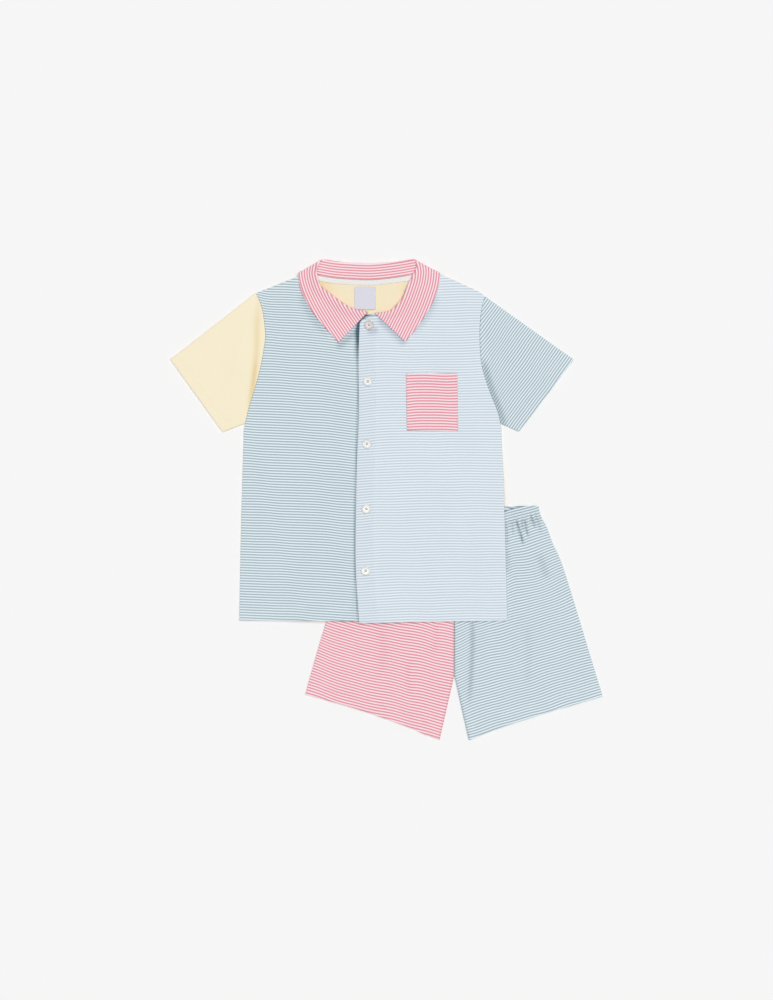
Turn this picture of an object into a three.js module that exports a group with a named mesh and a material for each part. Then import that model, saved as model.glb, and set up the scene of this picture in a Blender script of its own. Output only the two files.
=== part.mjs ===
// Child's pyjama set laid flat: a short-sleeved shirt on top of a pair of shorts.
// Millimetres. X is across, Y points to the neck, Z is up from the surface that the set lies on.
import * as THREE from 'three';

// Cloth and gaps
const CLOTH = 1.2;
const COLLAR_CLOTH = 1.6;
const TRIM = 0.7;
const SEAM = 0.3;
const ON_TOP = CLOTH + SEAM;
const REST_GAP = 0.6;

// Shirt heights: the back rises over the shorts and over the collar behind it, and the fronts are soft
const SHIRT_MIDDLE = -17;
const FRONT_LOFT = 0.8;
const NECK_MIDDLE = -21;
const NECK_RISE = COLLAR_CLOTH + REST_GAP;

// Shorts
const SHORTS_MIDDLE = 84.6;
const HALF_WAIST = 105;
const WAIST_Y = -7.5;
const FRONT_WAIST_DIP = 13;
const BACK_WAIST_DIP = 1.5;
const CASING_DEPTH = 16;
const CASING_EXTRA = 0.8;
const GATHERS = 18;
const GATHER_HEIGHT = 0.9;
const GATHER_REACH = 18;
const GATHER_SPREAD = 12;
const LEG_STACK = 2 * ON_TOP;
const WAIST_STACK = LEG_STACK + 2 * CASING_EXTRA + GATHER_HEIGHT;
const SIDE_SLOPE = 0.372;

// Buttons
const BUTTON = { radius: 5.75, thickness: 2.4, bevel: 0.5, holeRadius: 0.65, holeOffset: 1.3 };
const BUTTON_PLACES = [
  { x: -21.8, y: 218.4, turn: 0.5 },
  { x: -23.4, y: 147.8, turn: 0.1 },
  { x: -24.3, y: 70.1, turn: 0 },
  { x: -25.1, y: -11, turn: 0.6 },
  { x: -25.9, y: -88.1, turn: 0.2 },
];

// Shirt edges, each from the hem upward or from left to right
const SHIRT_SIDE_LEFT = [[-183.9, -150.4], [-181.5, -30], [-178.1, 88.6]];
const ARMHOLE_LEFT = [
  [-178.1, 88.6], [-171.1, 118], [-159.3, 157.5], [-151.8, 197], [-151.8, 215], [-155.3, 239], [-162.8, 258.6],
];
const SHIRT_SIDE_RIGHT = [[150.9, -150.5], [146.8, -6.3], [143.6, 88.6]];
const ARMHOLE_RIGHT = [
  [143.6, 88.6], [139.1, 109.6], [128.3, 137.1], [118.8, 169.5], [116.4, 205], [118.2, 235], [122.8, 253.8],
];
const UNDERLAP = [[-10, -151.4], [-10.5, 40], [-11.5, 233.6]];
const BAND_EDGE = [
  [-34.1, -153.5], [-36.9, -115], [-38.8, -70.5], [-38.1, -3.6], [-36.9, 52.5], [-34.7, 108], [-35.1, 175], [-33.5, 221],
];
const BAND_TOP = [[-33.5, 221], [-29.5, 226.6], [-15.6, 230.2]];

// Collar sections from the front end, round the side, to the middle of the back. Each gives the neck
// seam, the roll and the outer edge, how far the section lies in the front layer, and the roll's radius.
const COLLAR_LEFT = [
  { seam: [-23.6, 231.6], roll: [-23.3, 234.5], edge: [-60, 196.5], front: 1, bend: 1.3 },
  { seam: [-42.5, 233.8], roll: [-40.5, 237.7], edge: [-72, 209.8], front: 1, bend: 1.7 },
  { seam: [-57.5, 241.5], roll: [-55, 245.6], edge: [-84, 223.5], front: 1, bend: 2 },
  { seam: [-72.5, 252.4], roll: [-69.5, 256.4], edge: [-94.5, 238], front: 1, bend: 2 },
  { seam: [-87, 264.8], roll: [-82.8, 267.5], edge: [-103, 253], front: 1, bend: 2 },
  { seam: [-90.6, 275.5], roll: [-86.3, 279], edge: [-108.2, 266], front: 1, bend: 2 },
  { seam: [-91.5, 281.5], roll: [-87.2, 288.5], edge: [-109.4, 275.2], front: 1, bend: 1.9 },
  { seam: [-91.4, 285.4], roll: [-83.2, 297], edge: [-110.2, 281], front: 0.85, bend: 1.7 },
  { seam: [-90.2, 286.4], roll: [-79.6, 299.3], edge: [-109, 283.2], front: 0.45, bend: 1.5 },
  { seam: [-88, 285.2], roll: [-74, 299.2], edge: [-105.5, 283.2], front: 0.08, bend: 1.4 },
  { seam: [-83, 280.3], roll: [-66, 298], edge: [-94, 273], front: 0, bend: 1.3 },
  { seam: [-64.4, 277.2], roll: [-53.4, 296.3], edge: [-72, 266.5], front: 0, bend: 1.3 },
  { seam: [-42.6, 275.6], roll: [-37, 295.2], edge: [-46, 263], front: 0, bend: 1.3 },
];
const COLLAR_BACK = [{ seam: [-21, 274.9], roll: [-20.6, 294.8], edge: [-21, 262], front: 0, bend: 1.3 }];
const COLLAR_RIGHT = [
  { seam: [-12.6, 229.9], roll: [-14, 232.6], edge: [23.1, 197.5], front: 1, bend: 1.3 },
  { seam: [7, 231.6], roll: [4, 235.4], edge: [34.5, 210.5], front: 1, bend: 1.7 },
  { seam: [17.8, 240.6], roll: [13.7, 243.9], edge: [45.5, 226], front: 1, bend: 2 },
  { seam: [25.6, 251.4], roll: [20.8, 253.5], edge: [54.6, 240.5], front: 1, bend: 2 },
  { seam: [30.6, 263.4], roll: [25.6, 265.2], edge: [60.8, 253.5], front: 1, bend: 2 },
  { seam: [35.8, 274.4], roll: [31.2, 277.2], edge: [65, 266.5], front: 1, bend: 2 },
  { seam: [41, 281.6], roll: [36, 285.4], edge: [66.6, 275], front: 1, bend: 1.9 },
  { seam: [44.2, 286.4], roll: [37.6, 294], edge: [67, 281.6], front: 0.85, bend: 1.7 },
  { seam: [44.4, 288.2], roll: [35.6, 299.3], edge: [65, 285.6], front: 0.45, bend: 1.5 },
  { seam: [42, 287.4], roll: [29, 299.4], edge: [60.5, 286], front: 0.08, bend: 1.4 },
  { seam: [36, 282.2], roll: [20, 298.2], edge: [50, 276], front: 0, bend: 1.3 },
  { seam: [18, 279], roll: [8, 296.6], edge: [27, 268], front: 0, bend: 1.3 },
  { seam: [-1, 276.4], roll: [-6, 295.4], edge: [3, 263.6], front: 0, bend: 1.3 },
];
const NECK_CORNER_LEFT = new THREE.Vector2(-94, 284.9);
const NECK_CORNER_RIGHT = new THREE.Vector2(48.4, 286);
const COLLAR_STEPS = 2;
const FALL_SETTLE = 12;

// Sleeves: the fold along the top, the fold under the arm and the cuff
const SLEEVE_HALF_GAP = 0.75;
const SLEEVE_PUFF = 0.9;
const SLEEVE_LEFT = { cuffTop: [-269.6, 175.3], cuffUnder: [-205, 85.6] };
const SLEEVE_RIGHT = { cuffTop: [233.4, 175], cuffUnder: [165.6, 86.3] };

// Small pieces on the shirt
const POCKET = { topLeft: [24.4, 158.1], topRight: [88.4, 158.1], underLeft: [25.6, 86.9], underRight: [89.4, 85.6] };
const TAPE_WIDTH = 6.2;
const LABEL = { left: -40, right: -13.6, top: 266.2, under: 237.8 };

// Shorts edges
const HEM_RIGHT_LEG = [[103, -300], [142.4, -281.5], [208.1, -260.4], [270, -245]];
const HEM_LEFT_LEG = [[-101.4, -243], [-38.9, -260.4], [26.8, -281.5], [66.2, -299.6]];
const SIDE_RIGHT_LEG = [
  [270, -245], [252.9, -189.4], [237.1, -136.8], [218.8, -78.9], [207.9, -55], [200.3, -34.3], [192.4, -19.6],
  [189.6, WAIST_Y],
];
const SIDE_LEFT_LEG = [
  [-101.4, -243], [-86.5, -189.4], [-70.4, -136.8], [-50.6, -78.9], [-38.9, -55], [-31.1, -34.3], [-23.2, -19.6],
  [-20.4, WAIST_Y],
];
const CROTCH_Y = -221.5;
const INSEAM_RIGHT_LEG = [[103, -300], [96.6, -267.8], [91.3, -240.9], [SHORTS_MIDDLE + SEAM / 2, CROTCH_Y]];
const INSEAM_LEFT_LEG = [[66.2, -299.6], [72.6, -267.8], [77.9, -240.9], [SHORTS_MIDDLE - SEAM / 2, CROTCH_Y]];
const INSEAM_ROWS = [0, 0.1, 0.2, 0.29];
const LEG_ROWS = [0.4, 0.51, 0.62, 0.72, 0.79, 0.84, 0.88, 0.91, 0.93, 0.945, 0.98, 1];

const COLOURS = {
  teal: 0xc8d6db,
  blue: 0xd7e1e7,
  pink: 0xefc4cc,
  yellow: 0xf7ecd0,
  white: 0xf2f0ed,
  label: 0xe6e4e6,
  button: 0xf1f1ee,
};

// A value that goes softly from 0 at one place to 1 at another
function ramp(from, to, value) {
  const part = THREE.MathUtils.clamp((value - from) / (to - from), 0, 1);
  return part * part * (3 - 2 * part);
}

// Height of the shirt's underside: over the shorts, over the back of the collar, and flat elsewhere
function shirtUnderside(x, y) {
  const sideX = SHORTS_MIDDLE - HALF_WAIST - SIDE_SLOPE * (WAIST_Y - y);
  const overShorts = ramp(80, 18, y - WAIST_Y) * ramp(80, 18, sideX - x);
  const stack = LEG_STACK + (WAIST_STACK - LEG_STACK) * ramp(-100, -50, y);
  const overCollar = ramp(218, 254, y) * ramp(134, 98, Math.abs(x - NECK_MIDDLE));
  return overShorts * stack + overCollar * NECK_RISE;
}

// Height of a front's underside: the fronts lie on the back, puffed a little between the side seams
function frontUnderside(x, y) {
  const loft = FRONT_LOFT * ramp(160, 130, Math.abs(x - SHIRT_MIDDLE)) * ramp(268, 225, y);
  return shirtUnderside(x, y) + ON_TOP + loft;
}

// The button side lies on the other front along the middle
function leftFrontUnderside(x, y) {
  return frontUnderside(x, y) + ON_TOP * ramp(26, -6, x);
}

function leftFrontTop(x, y) {
  return leftFrontUnderside(x, y) + CLOTH;
}

// Points at the given parts of the length of a smooth line through the given points
function run(points, parts) {
  const line = new THREE.SplineCurve(points.map(([x, y]) => new THREE.Vector2(x, y)));
  line.arcLengthDivisions = 400;
  return parts.map((part) => line.getPointAt(part));
}

function even(count) {
  return Array.from({ length: count + 1 }, (_, index) => index / count);
}

function joined(...runs) {
  return runs.reduce((all, next) => all.concat(next.slice(1)));
}

function lengthParts(points) {
  const lengths = [0];
  for (let k = 1; k < points.length; k += 1) {
    lengths.push(lengths[k - 1] + points[k].distanceTo(points[k - 1]));
  }
  return lengths.map((length) => length / lengths[lengths.length - 1]);
}

// Rows of plan points that fill the space between four edges
function fill({ under, top, left, right }) {
  const us = lengthParts(under);
  const vs = lengthParts(left);
  const last = under.length - 1;
  const ceiling = left.length - 1;
  return vs.map((v, row) => us.map((u, column) => {
    const across = left[row].clone().lerp(right[row], u);
    const along = under[column].clone().lerp(top[column], v);
    const lower = under[0].clone().lerp(under[last], u);
    const upper = top[0].clone().lerp(top[last], u);
    const corners = lower.lerp(upper, v);
    const point = across.add(along).sub(corners);
    return { x: point.x, y: point.y, row, column, edge: row === 0 || row === ceiling };
  }));
}

// A closed body from two grids of points with the same layout, the first on top
function closeGrids(upper, lower) {
  const rows = upper.length;
  const columns = upper[0].length;
  const points = [...upper.flat(), ...lower.flat()];
  const at = (row, column) => row * columns + column;
  const below = rows * columns;
  const faces = [];
  const quad = (a, b, c, d) => faces.push(a, b, c, a, c, d);
  for (let row = 0; row + 1 < rows; row += 1) {
    for (let column = 0; column + 1 < columns; column += 1) {
      const [a, b, c, d] = [at(row, column), at(row, column + 1), at(row + 1, column + 1), at(row + 1, column)];
      quad(a, b, c, d);
      quad(below + a, below + d, below + c, below + b);
    }
  }
  const rim = [];
  for (let column = 0; column + 1 < columns; column += 1) rim.push(at(0, column));
  for (let row = 0; row + 1 < rows; row += 1) rim.push(at(row, columns - 1));
  for (let column = columns - 1; column > 0; column -= 1) rim.push(at(rows - 1, column));
  for (let row = rows - 1; row > 0; row -= 1) rim.push(at(row, 0));
  rim.forEach((start, k) => {
    const end = rim[(k + 1) % rim.length];
    quad(start, below + start, below + end, end);
  });
  return solid(points, faces);
}

function solid(points, faces) {
  const geometry = new THREE.BufferGeometry();
  geometry.setAttribute('position', new THREE.Float32BufferAttribute(points.flatMap((p) => [p.x, p.y, p.z]), 3));
  geometry.setIndex(faces);
  geometry.computeVertexNormals();
  return geometry;
}

// A panel of cloth from plan points, the height of its underside and its thickness
function panel(grid, underside, thickness = () => CLOTH) {
  const lower = grid.map((row) => row.map((p) => new THREE.Vector3(p.x, p.y, underside(p.x, p.y, p))));
  const upper = grid.map((row, k) => row.map((p, m) => {
    const base = lower[k][m];
    return new THREE.Vector3(p.x, p.y, base.z + thickness(p.x, p.y, p));
  }));
  return closeGrids(upper, lower);
}

// The directions that face out of a sheet at each of its middle points
function facing(middle, ring) {
  const rows = middle.length;
  const columns = middle[0].length;
  const wrap = (k) => (ring ? (k + columns) % columns : THREE.MathUtils.clamp(k, 0, columns - 1));
  return middle.map((points, row) => points.map((_, column) => {
    const alongRow = points[wrap(column + 1)].clone().sub(points[wrap(column - 1)]);
    const nextRow = middle[Math.min(row + 1, rows - 1)][column];
    const alongColumn = nextRow.clone().sub(middle[Math.max(row - 1, 0)][column]);
    return alongRow.cross(alongColumn).normalize();
  }));
}

function shifted(middle, directions, distance) {
  return middle.map((points, row) => points.map((point, column) => (
    point.clone().addScaledVector(directions[row][column], distance))));
}

// A sheet bent through its middle points, with one wall thickness
function bentSheet(middle, thickness) {
  const directions = facing(middle, false);
  return closeGrids(shifted(middle, directions, thickness / 2), shifted(middle, directions, -thickness / 2));
}

// A tube of cloth through rings of middle points, open at both ends
function clothTube(middle, thickness) {
  const directions = facing(middle, true);
  const outer = shifted(middle, directions, thickness / 2);
  const inner = shifted(middle, directions, -thickness / 2);
  const rows = middle.length;
  const columns = middle[0].length;
  const points = [...outer.flat(), ...inner.flat()];
  const at = (row, column) => row * columns + (column % columns);
  const inside = rows * columns;
  const faces = [];
  const quad = (a, b, c, d) => faces.push(a, b, c, a, c, d);
  for (let column = 0; column < columns; column += 1) {
    for (let row = 0; row + 1 < rows; row += 1) {
      const [a, b, c, d] = [at(row, column), at(row, column + 1), at(row + 1, column + 1), at(row + 1, column)];
      quad(a, b, c, d);
      quad(inside + a, inside + d, inside + c, inside + b);
    }
    quad(at(0, column), inside + at(0, column), inside + at(0, column + 1), at(0, column + 1));
    const top = rows - 1;
    quad(at(top, column + 1), inside + at(top, column + 1), inside + at(top, column), at(top, column));
  }
  return solid(points, faces);
}

function part(name, geometry, colour, roughness = 0.9) {
  const material = new THREE.MeshStandardMaterial({ color: colour, roughness, metalness: 0 });
  const mesh = new THREE.Mesh(geometry, material);
  mesh.name = name;
  return mesh;
}

// The neck edge of the panels keeps clear of the collar's seam
function neckEdge(section) {
  const seam = new THREE.Vector2(...section.seam);
  const outward = seam.clone().sub(new THREE.Vector2(...section.roll)).normalize();
  return seam.addScaledVector(outward, SEAM + 0.1);
}

function frontNeck(sections, corner) {
  return [...sections.slice(0, 7).map(neckEdge), corner];
}

function backNeck() {
  const left = COLLAR_LEFT.slice(10).map(neckEdge);
  const right = COLLAR_RIGHT.slice(10).map(neckEdge);
  return [NECK_CORNER_LEFT, ...left, ...COLLAR_BACK.map(neckEdge), ...right.reverse(), NECK_CORNER_RIGHT];
}

const SHOULDER_COLUMNS = 5;
const SIDE_ROWS = 11;
const ARMHOLE_ROWS = 9;

function shoulder(armhole, neckCorner) {
  return run([armhole[armhole.length - 1], neckCorner.toArray()], even(SHOULDER_COLUMNS));
}

function shirtSide(side, armhole) {
  return joined(run(side, even(SIDE_ROWS)), run(armhole, even(ARMHOLE_ROWS)));
}

function shirtBack() {
  const neck = backNeck();
  const top = joined(shoulder(ARMHOLE_LEFT, neck[0]), neck, shoulder(ARMHOLE_RIGHT, neck[neck.length - 1]).reverse());
  const grid = fill({
    under: run([SHIRT_SIDE_LEFT[0], SHIRT_SIDE_RIGHT[0]], even(top.length - 1)),
    top,
    left: shirtSide(SHIRT_SIDE_LEFT, ARMHOLE_LEFT),
    right: shirtSide(SHIRT_SIDE_RIGHT, ARMHOLE_RIGHT),
  });
  return part('shirt_back', panel(grid, shirtUnderside), COLOURS.yellow);
}

function rightFront() {
  const neck = frontNeck(COLLAR_LEFT, NECK_CORNER_LEFT).reverse();
  const corner = new THREE.Vector2(...UNDERLAP[UNDERLAP.length - 1]);
  const top = [...joined(shoulder(ARMHOLE_LEFT, neck[0]), neck), corner];
  const grid = fill({
    under: run([SHIRT_SIDE_LEFT[0], UNDERLAP[0]], even(top.length - 1)),
    top,
    left: shirtSide(SHIRT_SIDE_LEFT, ARMHOLE_LEFT),
    right: run(UNDERLAP, even(SIDE_ROWS + ARMHOLE_ROWS)),
  });
  return part('right_front', panel(grid, frontUnderside), COLOURS.teal);
}

function leftFrontGrid() {
  const neck = frontNeck(COLLAR_RIGHT, NECK_CORNER_RIGHT);
  const top = joined([...run(BAND_TOP, even(2)), ...neck], shoulder(ARMHOLE_RIGHT, neck[neck.length - 1]).reverse());
  return fill({
    under: run([BAND_EDGE[0], SHIRT_SIDE_RIGHT[0]], even(top.length - 1)),
    top,
    left: run(BAND_EDGE, even(SIDE_ROWS + ARMHOLE_ROWS)),
    right: shirtSide(SHIRT_SIDE_RIGHT, ARMHOLE_RIGHT),
  });
}

function leftFront() {
  return part('left_front', panel(leftFrontGrid(), leftFrontUnderside), COLOURS.blue);
}

// Between two collar sections
function blend(a, b, step) {
  const mix = (from, to) => new THREE.Vector2(...from).lerp(new THREE.Vector2(...to), step);
  return {
    seam: mix(a.seam, b.seam),
    roll: mix(a.roll, b.roll),
    edge: mix(a.edge, b.edge),
    front: THREE.MathUtils.lerp(a.front, b.front, step),
    bend: THREE.MathUtils.lerp(a.bend, b.bend, step),
  };
}

// One folded strip of the collar: up the stand, round the roll and down the fall
function collarSection({ seam, roll, edge, front, bend }, frontHeight) {
  const up = roll.clone().sub(seam).normalize();
  const down = edge.clone().sub(roll).normalize();
  const seamFront = frontHeight(seam.x, seam.y) + COLLAR_CLOTH / 2;
  const seamBack = shirtUnderside(seam.x, seam.y) + COLLAR_CLOTH / 2;
  const seamZ = THREE.MathUtils.lerp(seamBack, seamFront, Math.min(1, 1.2 * front));
  const lift = THREE.MathUtils.lerp(-1, 1, front);
  const fallBack = COLLAR_CLOTH / 2;
  const standEnd = THREE.MathUtils.lerp(fallBack + 2 * bend, seamFront, Math.min(1, 1.2 * front));
  const fallStart = standEnd + 2 * bend * lift;
  const points = [];
  const put = (plan, z) => points.push(new THREE.Vector3(plan.x, plan.y, z));
  const standTop = roll.clone().addScaledVector(up, -bend);
  for (const step of [0, 0.4, 0.75]) {
    put(seam.clone().lerp(standTop, step), THREE.MathUtils.lerp(seamZ, standEnd, step));
  }
  for (const angle of [-90, -45, 0, 45, 90]) {
    const turn = THREE.MathUtils.degToRad(angle);
    const way = angle < 0 ? up : down.clone().negate();
    const plan = roll.clone().addScaledVector(way, bend * (Math.cos(turn) - 1));
    put(plan, THREE.MathUtils.lerp(standEnd, fallStart, (1 + Math.sin(turn)) / 2));
  }
  const fallTop = roll.clone().addScaledVector(down, bend);
  const length = edge.distanceTo(fallTop);
  for (const step of [0.12, 0.3, 0.5, 0.75, 1]) {
    const plan = fallTop.clone().lerp(edge, step);
    const onFront = frontHeight(plan.x, plan.y) + CLOTH + REST_GAP + COLLAR_CLOTH / 2;
    const rest = THREE.MathUtils.lerp(fallBack, onFront, front);
    put(plan, THREE.MathUtils.lerp(fallStart, rest, ramp(0, FALL_SETTLE, step * length)));
  }
  return points;
}

function collar() {
  const sections = [...COLLAR_LEFT, ...COLLAR_BACK, ...[...COLLAR_RIGHT].reverse()];
  const middle = [];
  sections.slice(1).forEach((next, k) => {
    for (let step = 0; step < COLLAR_STEPS; step += 1) {
      const section = blend(sections[k], next, step / COLLAR_STEPS);
      middle.push(collarSection(section, section.seam.x < NECK_MIDDLE ? frontUnderside : leftFrontUnderside));
    }
  });
  middle.push(collarSection(blend(COLLAR_RIGHT[0], COLLAR_RIGHT[0], 0), leftFrontUnderside));
  return part('collar', bentSheet(middle, COLLAR_CLOTH), COLOURS.pink);
}

// A sleeve is one piece folded along its top edge, with the armhole at one end and the cuff at the other
function sleeve(name, armhole, { cuffTop, cuffUnder }, outward, colour) {
  const rows = 8;
  const start = run(armhole, even(ARMHOLE_ROWS)).map((p) => new THREE.Vector2(p.x + 2 * SEAM * outward, p.y));
  const cuff = run([cuffUnder, cuffTop], even(ARMHOLE_ROWS));
  const across = [0, 0.006, 0.02, ...even(ARMHOLE_ROWS).slice(1, -1), 0.98, 0.994, 1];
  const middle = [];
  for (let row = 0; row <= rows; row += 1) {
    const part01 = row / rows;
    const upper = [];
    const lower = [];
    across.forEach((step) => {
      const from = pointAlong(start, step);
      const to = pointAlong(cuff, step);
      const plan = from.lerp(to, part01);
      const side = Math.min(step, 1 - step) / 0.02;
      const round = side >= 1 ? 1 : Math.sqrt(1 - (1 - side) ** 2);
      const puff = SLEEVE_PUFF * Math.sin(Math.PI * step) * Math.sin(Math.PI * (0.15 + 0.7 * part01));
      const centre = CLOTH / 2 + SLEEVE_HALF_GAP;
      upper.push(new THREE.Vector3(plan.x, plan.y, centre + SLEEVE_HALF_GAP * round + puff));
      lower.push(new THREE.Vector3(plan.x, plan.y, centre - SLEEVE_HALF_GAP * round));
    });
    const ring = [...upper, ...lower.slice(1, -1).reverse()];
    middle.push(outward < 0 ? ring : ring.reverse());
  }
  return part(name, clothTube(middle, CLOTH), colour);
}

function pointAlong(points, step) {
  const place = step * (points.length - 1);
  const index = Math.min(Math.floor(place), points.length - 2);
  return points[index].clone().lerp(points[index + 1], place - index);
}

function pocket() {
  const grid = fill({
    under: run([POCKET.underLeft, POCKET.underRight], even(6)),
    top: run([POCKET.topLeft, POCKET.topRight], even(6)),
    left: run([POCKET.underLeft, POCKET.topLeft], even(6)),
    right: run([POCKET.underRight, POCKET.topRight], even(6)),
  });
  return part('chest_pocket', panel(grid, (x, y) => leftFrontTop(x, y) + REST_GAP), COLOURS.pink);
}

function neckTape() {
  const neck = backNeck();
  const reach = even(2 * (neck.length - 1)).slice(2, -3);
  const top = reach.map((step) => pointAlong(neck, step).sub(new THREE.Vector2(0, 2 * SEAM)));
  const under = top.map((p) => new THREE.Vector2(p.x, p.y - TAPE_WIDTH));
  const last = top.length - 1;
  const grid = fill({ under, top, left: [under[0], top[0]], right: [under[last], top[last]] });
  return part('neck_tape', panel(grid, (x, y) => shirtUnderside(x, y) + ON_TOP, () => TRIM), COLOURS.white);
}

function neckLabel() {
  const across = even(3).map((step) => THREE.MathUtils.lerp(LABEL.left, LABEL.right, step));
  const grid = fill({
    under: across.map((x) => new THREE.Vector2(x, LABEL.under)),
    top: across.map((x) => new THREE.Vector2(x, LABEL.top)),
    left: run([[LABEL.left, LABEL.under], [LABEL.left, LABEL.top]], even(4)),
    right: run([[LABEL.right, LABEL.under], [LABEL.right, LABEL.top]], even(4)),
  });
  return part('neck_label', panel(grid, (x, y) => shirtUnderside(x, y) + ON_TOP, () => TRIM), COLOURS.label);
}

function button({ x, y, turn }, index) {
  const face = new THREE.Shape().absarc(0, 0, BUTTON.radius - BUTTON.bevel, 0, 2 * Math.PI);
  for (const corner of [0, 1, 2, 3]) {
    const angle = (corner + 0.5) * (Math.PI / 2);
    const hole = new THREE.Path();
    const [holeX, holeY] = [BUTTON.holeOffset * Math.cos(angle), BUTTON.holeOffset * Math.sin(angle)];
    hole.absarc(holeX, holeY, BUTTON.holeRadius, 0, 2 * Math.PI, true);
    face.holes.push(hole);
  }
  const geometry = new THREE.ExtrudeGeometry(face, {
    depth: BUTTON.thickness - 2 * BUTTON.bevel,
    bevelThickness: BUTTON.bevel,
    bevelSize: BUTTON.bevel,
    bevelSegments: 1,
    curveSegments: 6,
  });
  const mesh = part(`button_${index + 1}`, geometry, COLOURS.button, 0.35);
  mesh.position.set(x, y, leftFrontTop(x, y) + REST_GAP + BUTTON.bevel);
  mesh.rotation.z = turn;
  return mesh;
}

// The waist of the shorts dips in the middle
function waistY(x, dip) {
  const away = (x - SHORTS_MIDDLE) / HALF_WAIST;
  return WAIST_Y - dip * Math.max(0, 1 - away * away);
}

function waistPoints(left, right, dip, count) {
  return even(count).map((step) => {
    const x = THREE.MathUtils.lerp(left, right, step);
    return new THREE.Vector2(x, waistY(x, dip));
  });
}

function legGrid(isRight, dip, columns) {
  const hem = isRight ? HEM_RIGHT_LEG : HEM_LEFT_LEG;
  const inseam = isRight ? INSEAM_RIGHT_LEG : INSEAM_LEFT_LEG;
  const side = isRight ? SIDE_RIGHT_LEG : SIDE_LEFT_LEG;
  const [seamX] = inseam[inseam.length - 1];
  const last = INSEAM_ROWS[INSEAM_ROWS.length - 1];
  const inner = joined(
    run(inseam, INSEAM_ROWS.map((row) => row / last)),
    run([[seamX, CROTCH_Y], [seamX, waistY(seamX, dip)]], [0, ...LEG_ROWS.map((row) => (row - last) / (1 - last))]),
  );
  const outer = run(side, [...INSEAM_ROWS, ...LEG_ROWS]);
  const sideX = side[side.length - 1][0];
  return fill({
    under: run(hem, even(columns)),
    top: isRight ? waistPoints(seamX, sideX, dip, columns) : waistPoints(sideX, seamX, dip, columns),
    left: isRight ? inner : outer,
    right: isRight ? outer : inner,
  });
}

// The casing is thicker than the legs, where the cloth is turned over the elastic
function casing(x, y, dip) {
  return CASING_EXTRA * ramp(CASING_DEPTH + 12, CASING_DEPTH, waistY(x, dip) - y);
}

function shortsBackTop(x, y) {
  return CLOTH + casing(x, y, BACK_WAIST_DIP);
}

function shortsBack(name, isRight, colour) {
  const geometry = panel(legGrid(isRight, BACK_WAIST_DIP, 10), () => 0, shortsBackTop);
  return part(name, geometry, colour);
}

// Gathers run down from the casing, each with its own height and reach
function gather(x, y, column) {
  if (column % 2 === 0) return 0;
  const below = waistY(x, FRONT_WAIST_DIP) - y;
  const uneven = 0.5 + 0.5 * Math.sin(1.9 * column);
  const reach = CASING_DEPTH + GATHER_REACH + GATHER_SPREAD * uneven;
  const height = GATHER_HEIGHT * (0.6 + 0.4 * Math.cos(2.3 * column));
  return height * ramp(reach, CASING_DEPTH, below) * (below < CASING_DEPTH - 1 ? 0.6 : 1);
}

function shortsFront(name, isRight, colour) {
  const grid = legGrid(isRight, FRONT_WAIST_DIP, 2 * GATHERS);
  const underside = (x, y) => shortsBackTop(x, y) + SEAM;
  const thickness = (x, y, p) => CLOTH + casing(x, y, FRONT_WAIST_DIP) + gather(x, y, p.column);
  return part(name, panel(grid, underside, thickness), colour);
}

const pyjamas = new THREE.Group();
pyjamas.add(
  shortsBack('shorts_right_back', false, COLOURS.pink),
  shortsBack('shorts_left_back', true, COLOURS.teal),
  shortsFront('shorts_right_front', false, COLOURS.pink),
  shortsFront('shorts_left_front', true, COLOURS.teal),
  shirtBack(),
  neckTape(),
  neckLabel(),
  rightFront(),
  leftFront(),
  sleeve('right_sleeve', ARMHOLE_LEFT, SLEEVE_LEFT, -1, COLOURS.yellow),
  sleeve('left_sleeve', ARMHOLE_RIGHT, SLEEVE_RIGHT, 1, COLOURS.teal),
  collar(),
  pocket(),
  ...BUTTON_PLACES.map(button),
);

export default pyjamas;
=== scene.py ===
"""A child's pyjama set, laid flat: a short-sleeved shirt with a turned-down collar over matching shorts.

Garment sizes are in millimetres, with X across, Y towards the neck and Z up from the surface below.
Meshes are made in metres, in the same frame as the CAD solids that they dress.
"""
import logging
import math
from dataclasses import dataclass, replace
from enum import Enum
from typing import Callable, Optional, Sequence, Union

import bpy
import numpy as np
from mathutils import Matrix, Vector
from mathutils.bvhtree import BVHTree


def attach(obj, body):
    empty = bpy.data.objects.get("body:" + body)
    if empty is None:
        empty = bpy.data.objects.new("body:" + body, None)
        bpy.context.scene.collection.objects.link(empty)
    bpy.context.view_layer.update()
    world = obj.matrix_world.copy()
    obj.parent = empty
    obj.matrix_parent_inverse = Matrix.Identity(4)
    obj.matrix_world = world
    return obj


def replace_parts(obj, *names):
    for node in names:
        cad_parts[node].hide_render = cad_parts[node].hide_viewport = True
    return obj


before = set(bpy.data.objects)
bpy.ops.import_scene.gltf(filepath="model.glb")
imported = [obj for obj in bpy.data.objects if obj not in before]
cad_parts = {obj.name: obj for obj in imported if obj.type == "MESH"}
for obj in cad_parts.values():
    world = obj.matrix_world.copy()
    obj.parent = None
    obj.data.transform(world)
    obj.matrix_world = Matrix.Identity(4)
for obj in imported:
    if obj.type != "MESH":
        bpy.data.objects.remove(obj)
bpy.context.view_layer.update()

LOG = logging.getLogger("pyjamas")
MM = 0.001
NOISE_SPAN = (0.3, 0.7)

Point = tuple[float, float]
HeightAt = Callable[[np.ndarray, np.ndarray], np.ndarray]
Socket = bpy.types.NodeSocket
Fed = Union[float, Socket]
Colour = Union[str, Socket]


class Face(Enum):
    """The side of the cloth that a row of stitches lies on."""

    TOP = -1.0
    UNDER = 1.0


class Wearer(Enum):
    """A side of the garment as its wearer names it. The value is the way that it points along X."""

    RIGHT = -1.0
    LEFT = 1.0


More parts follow.
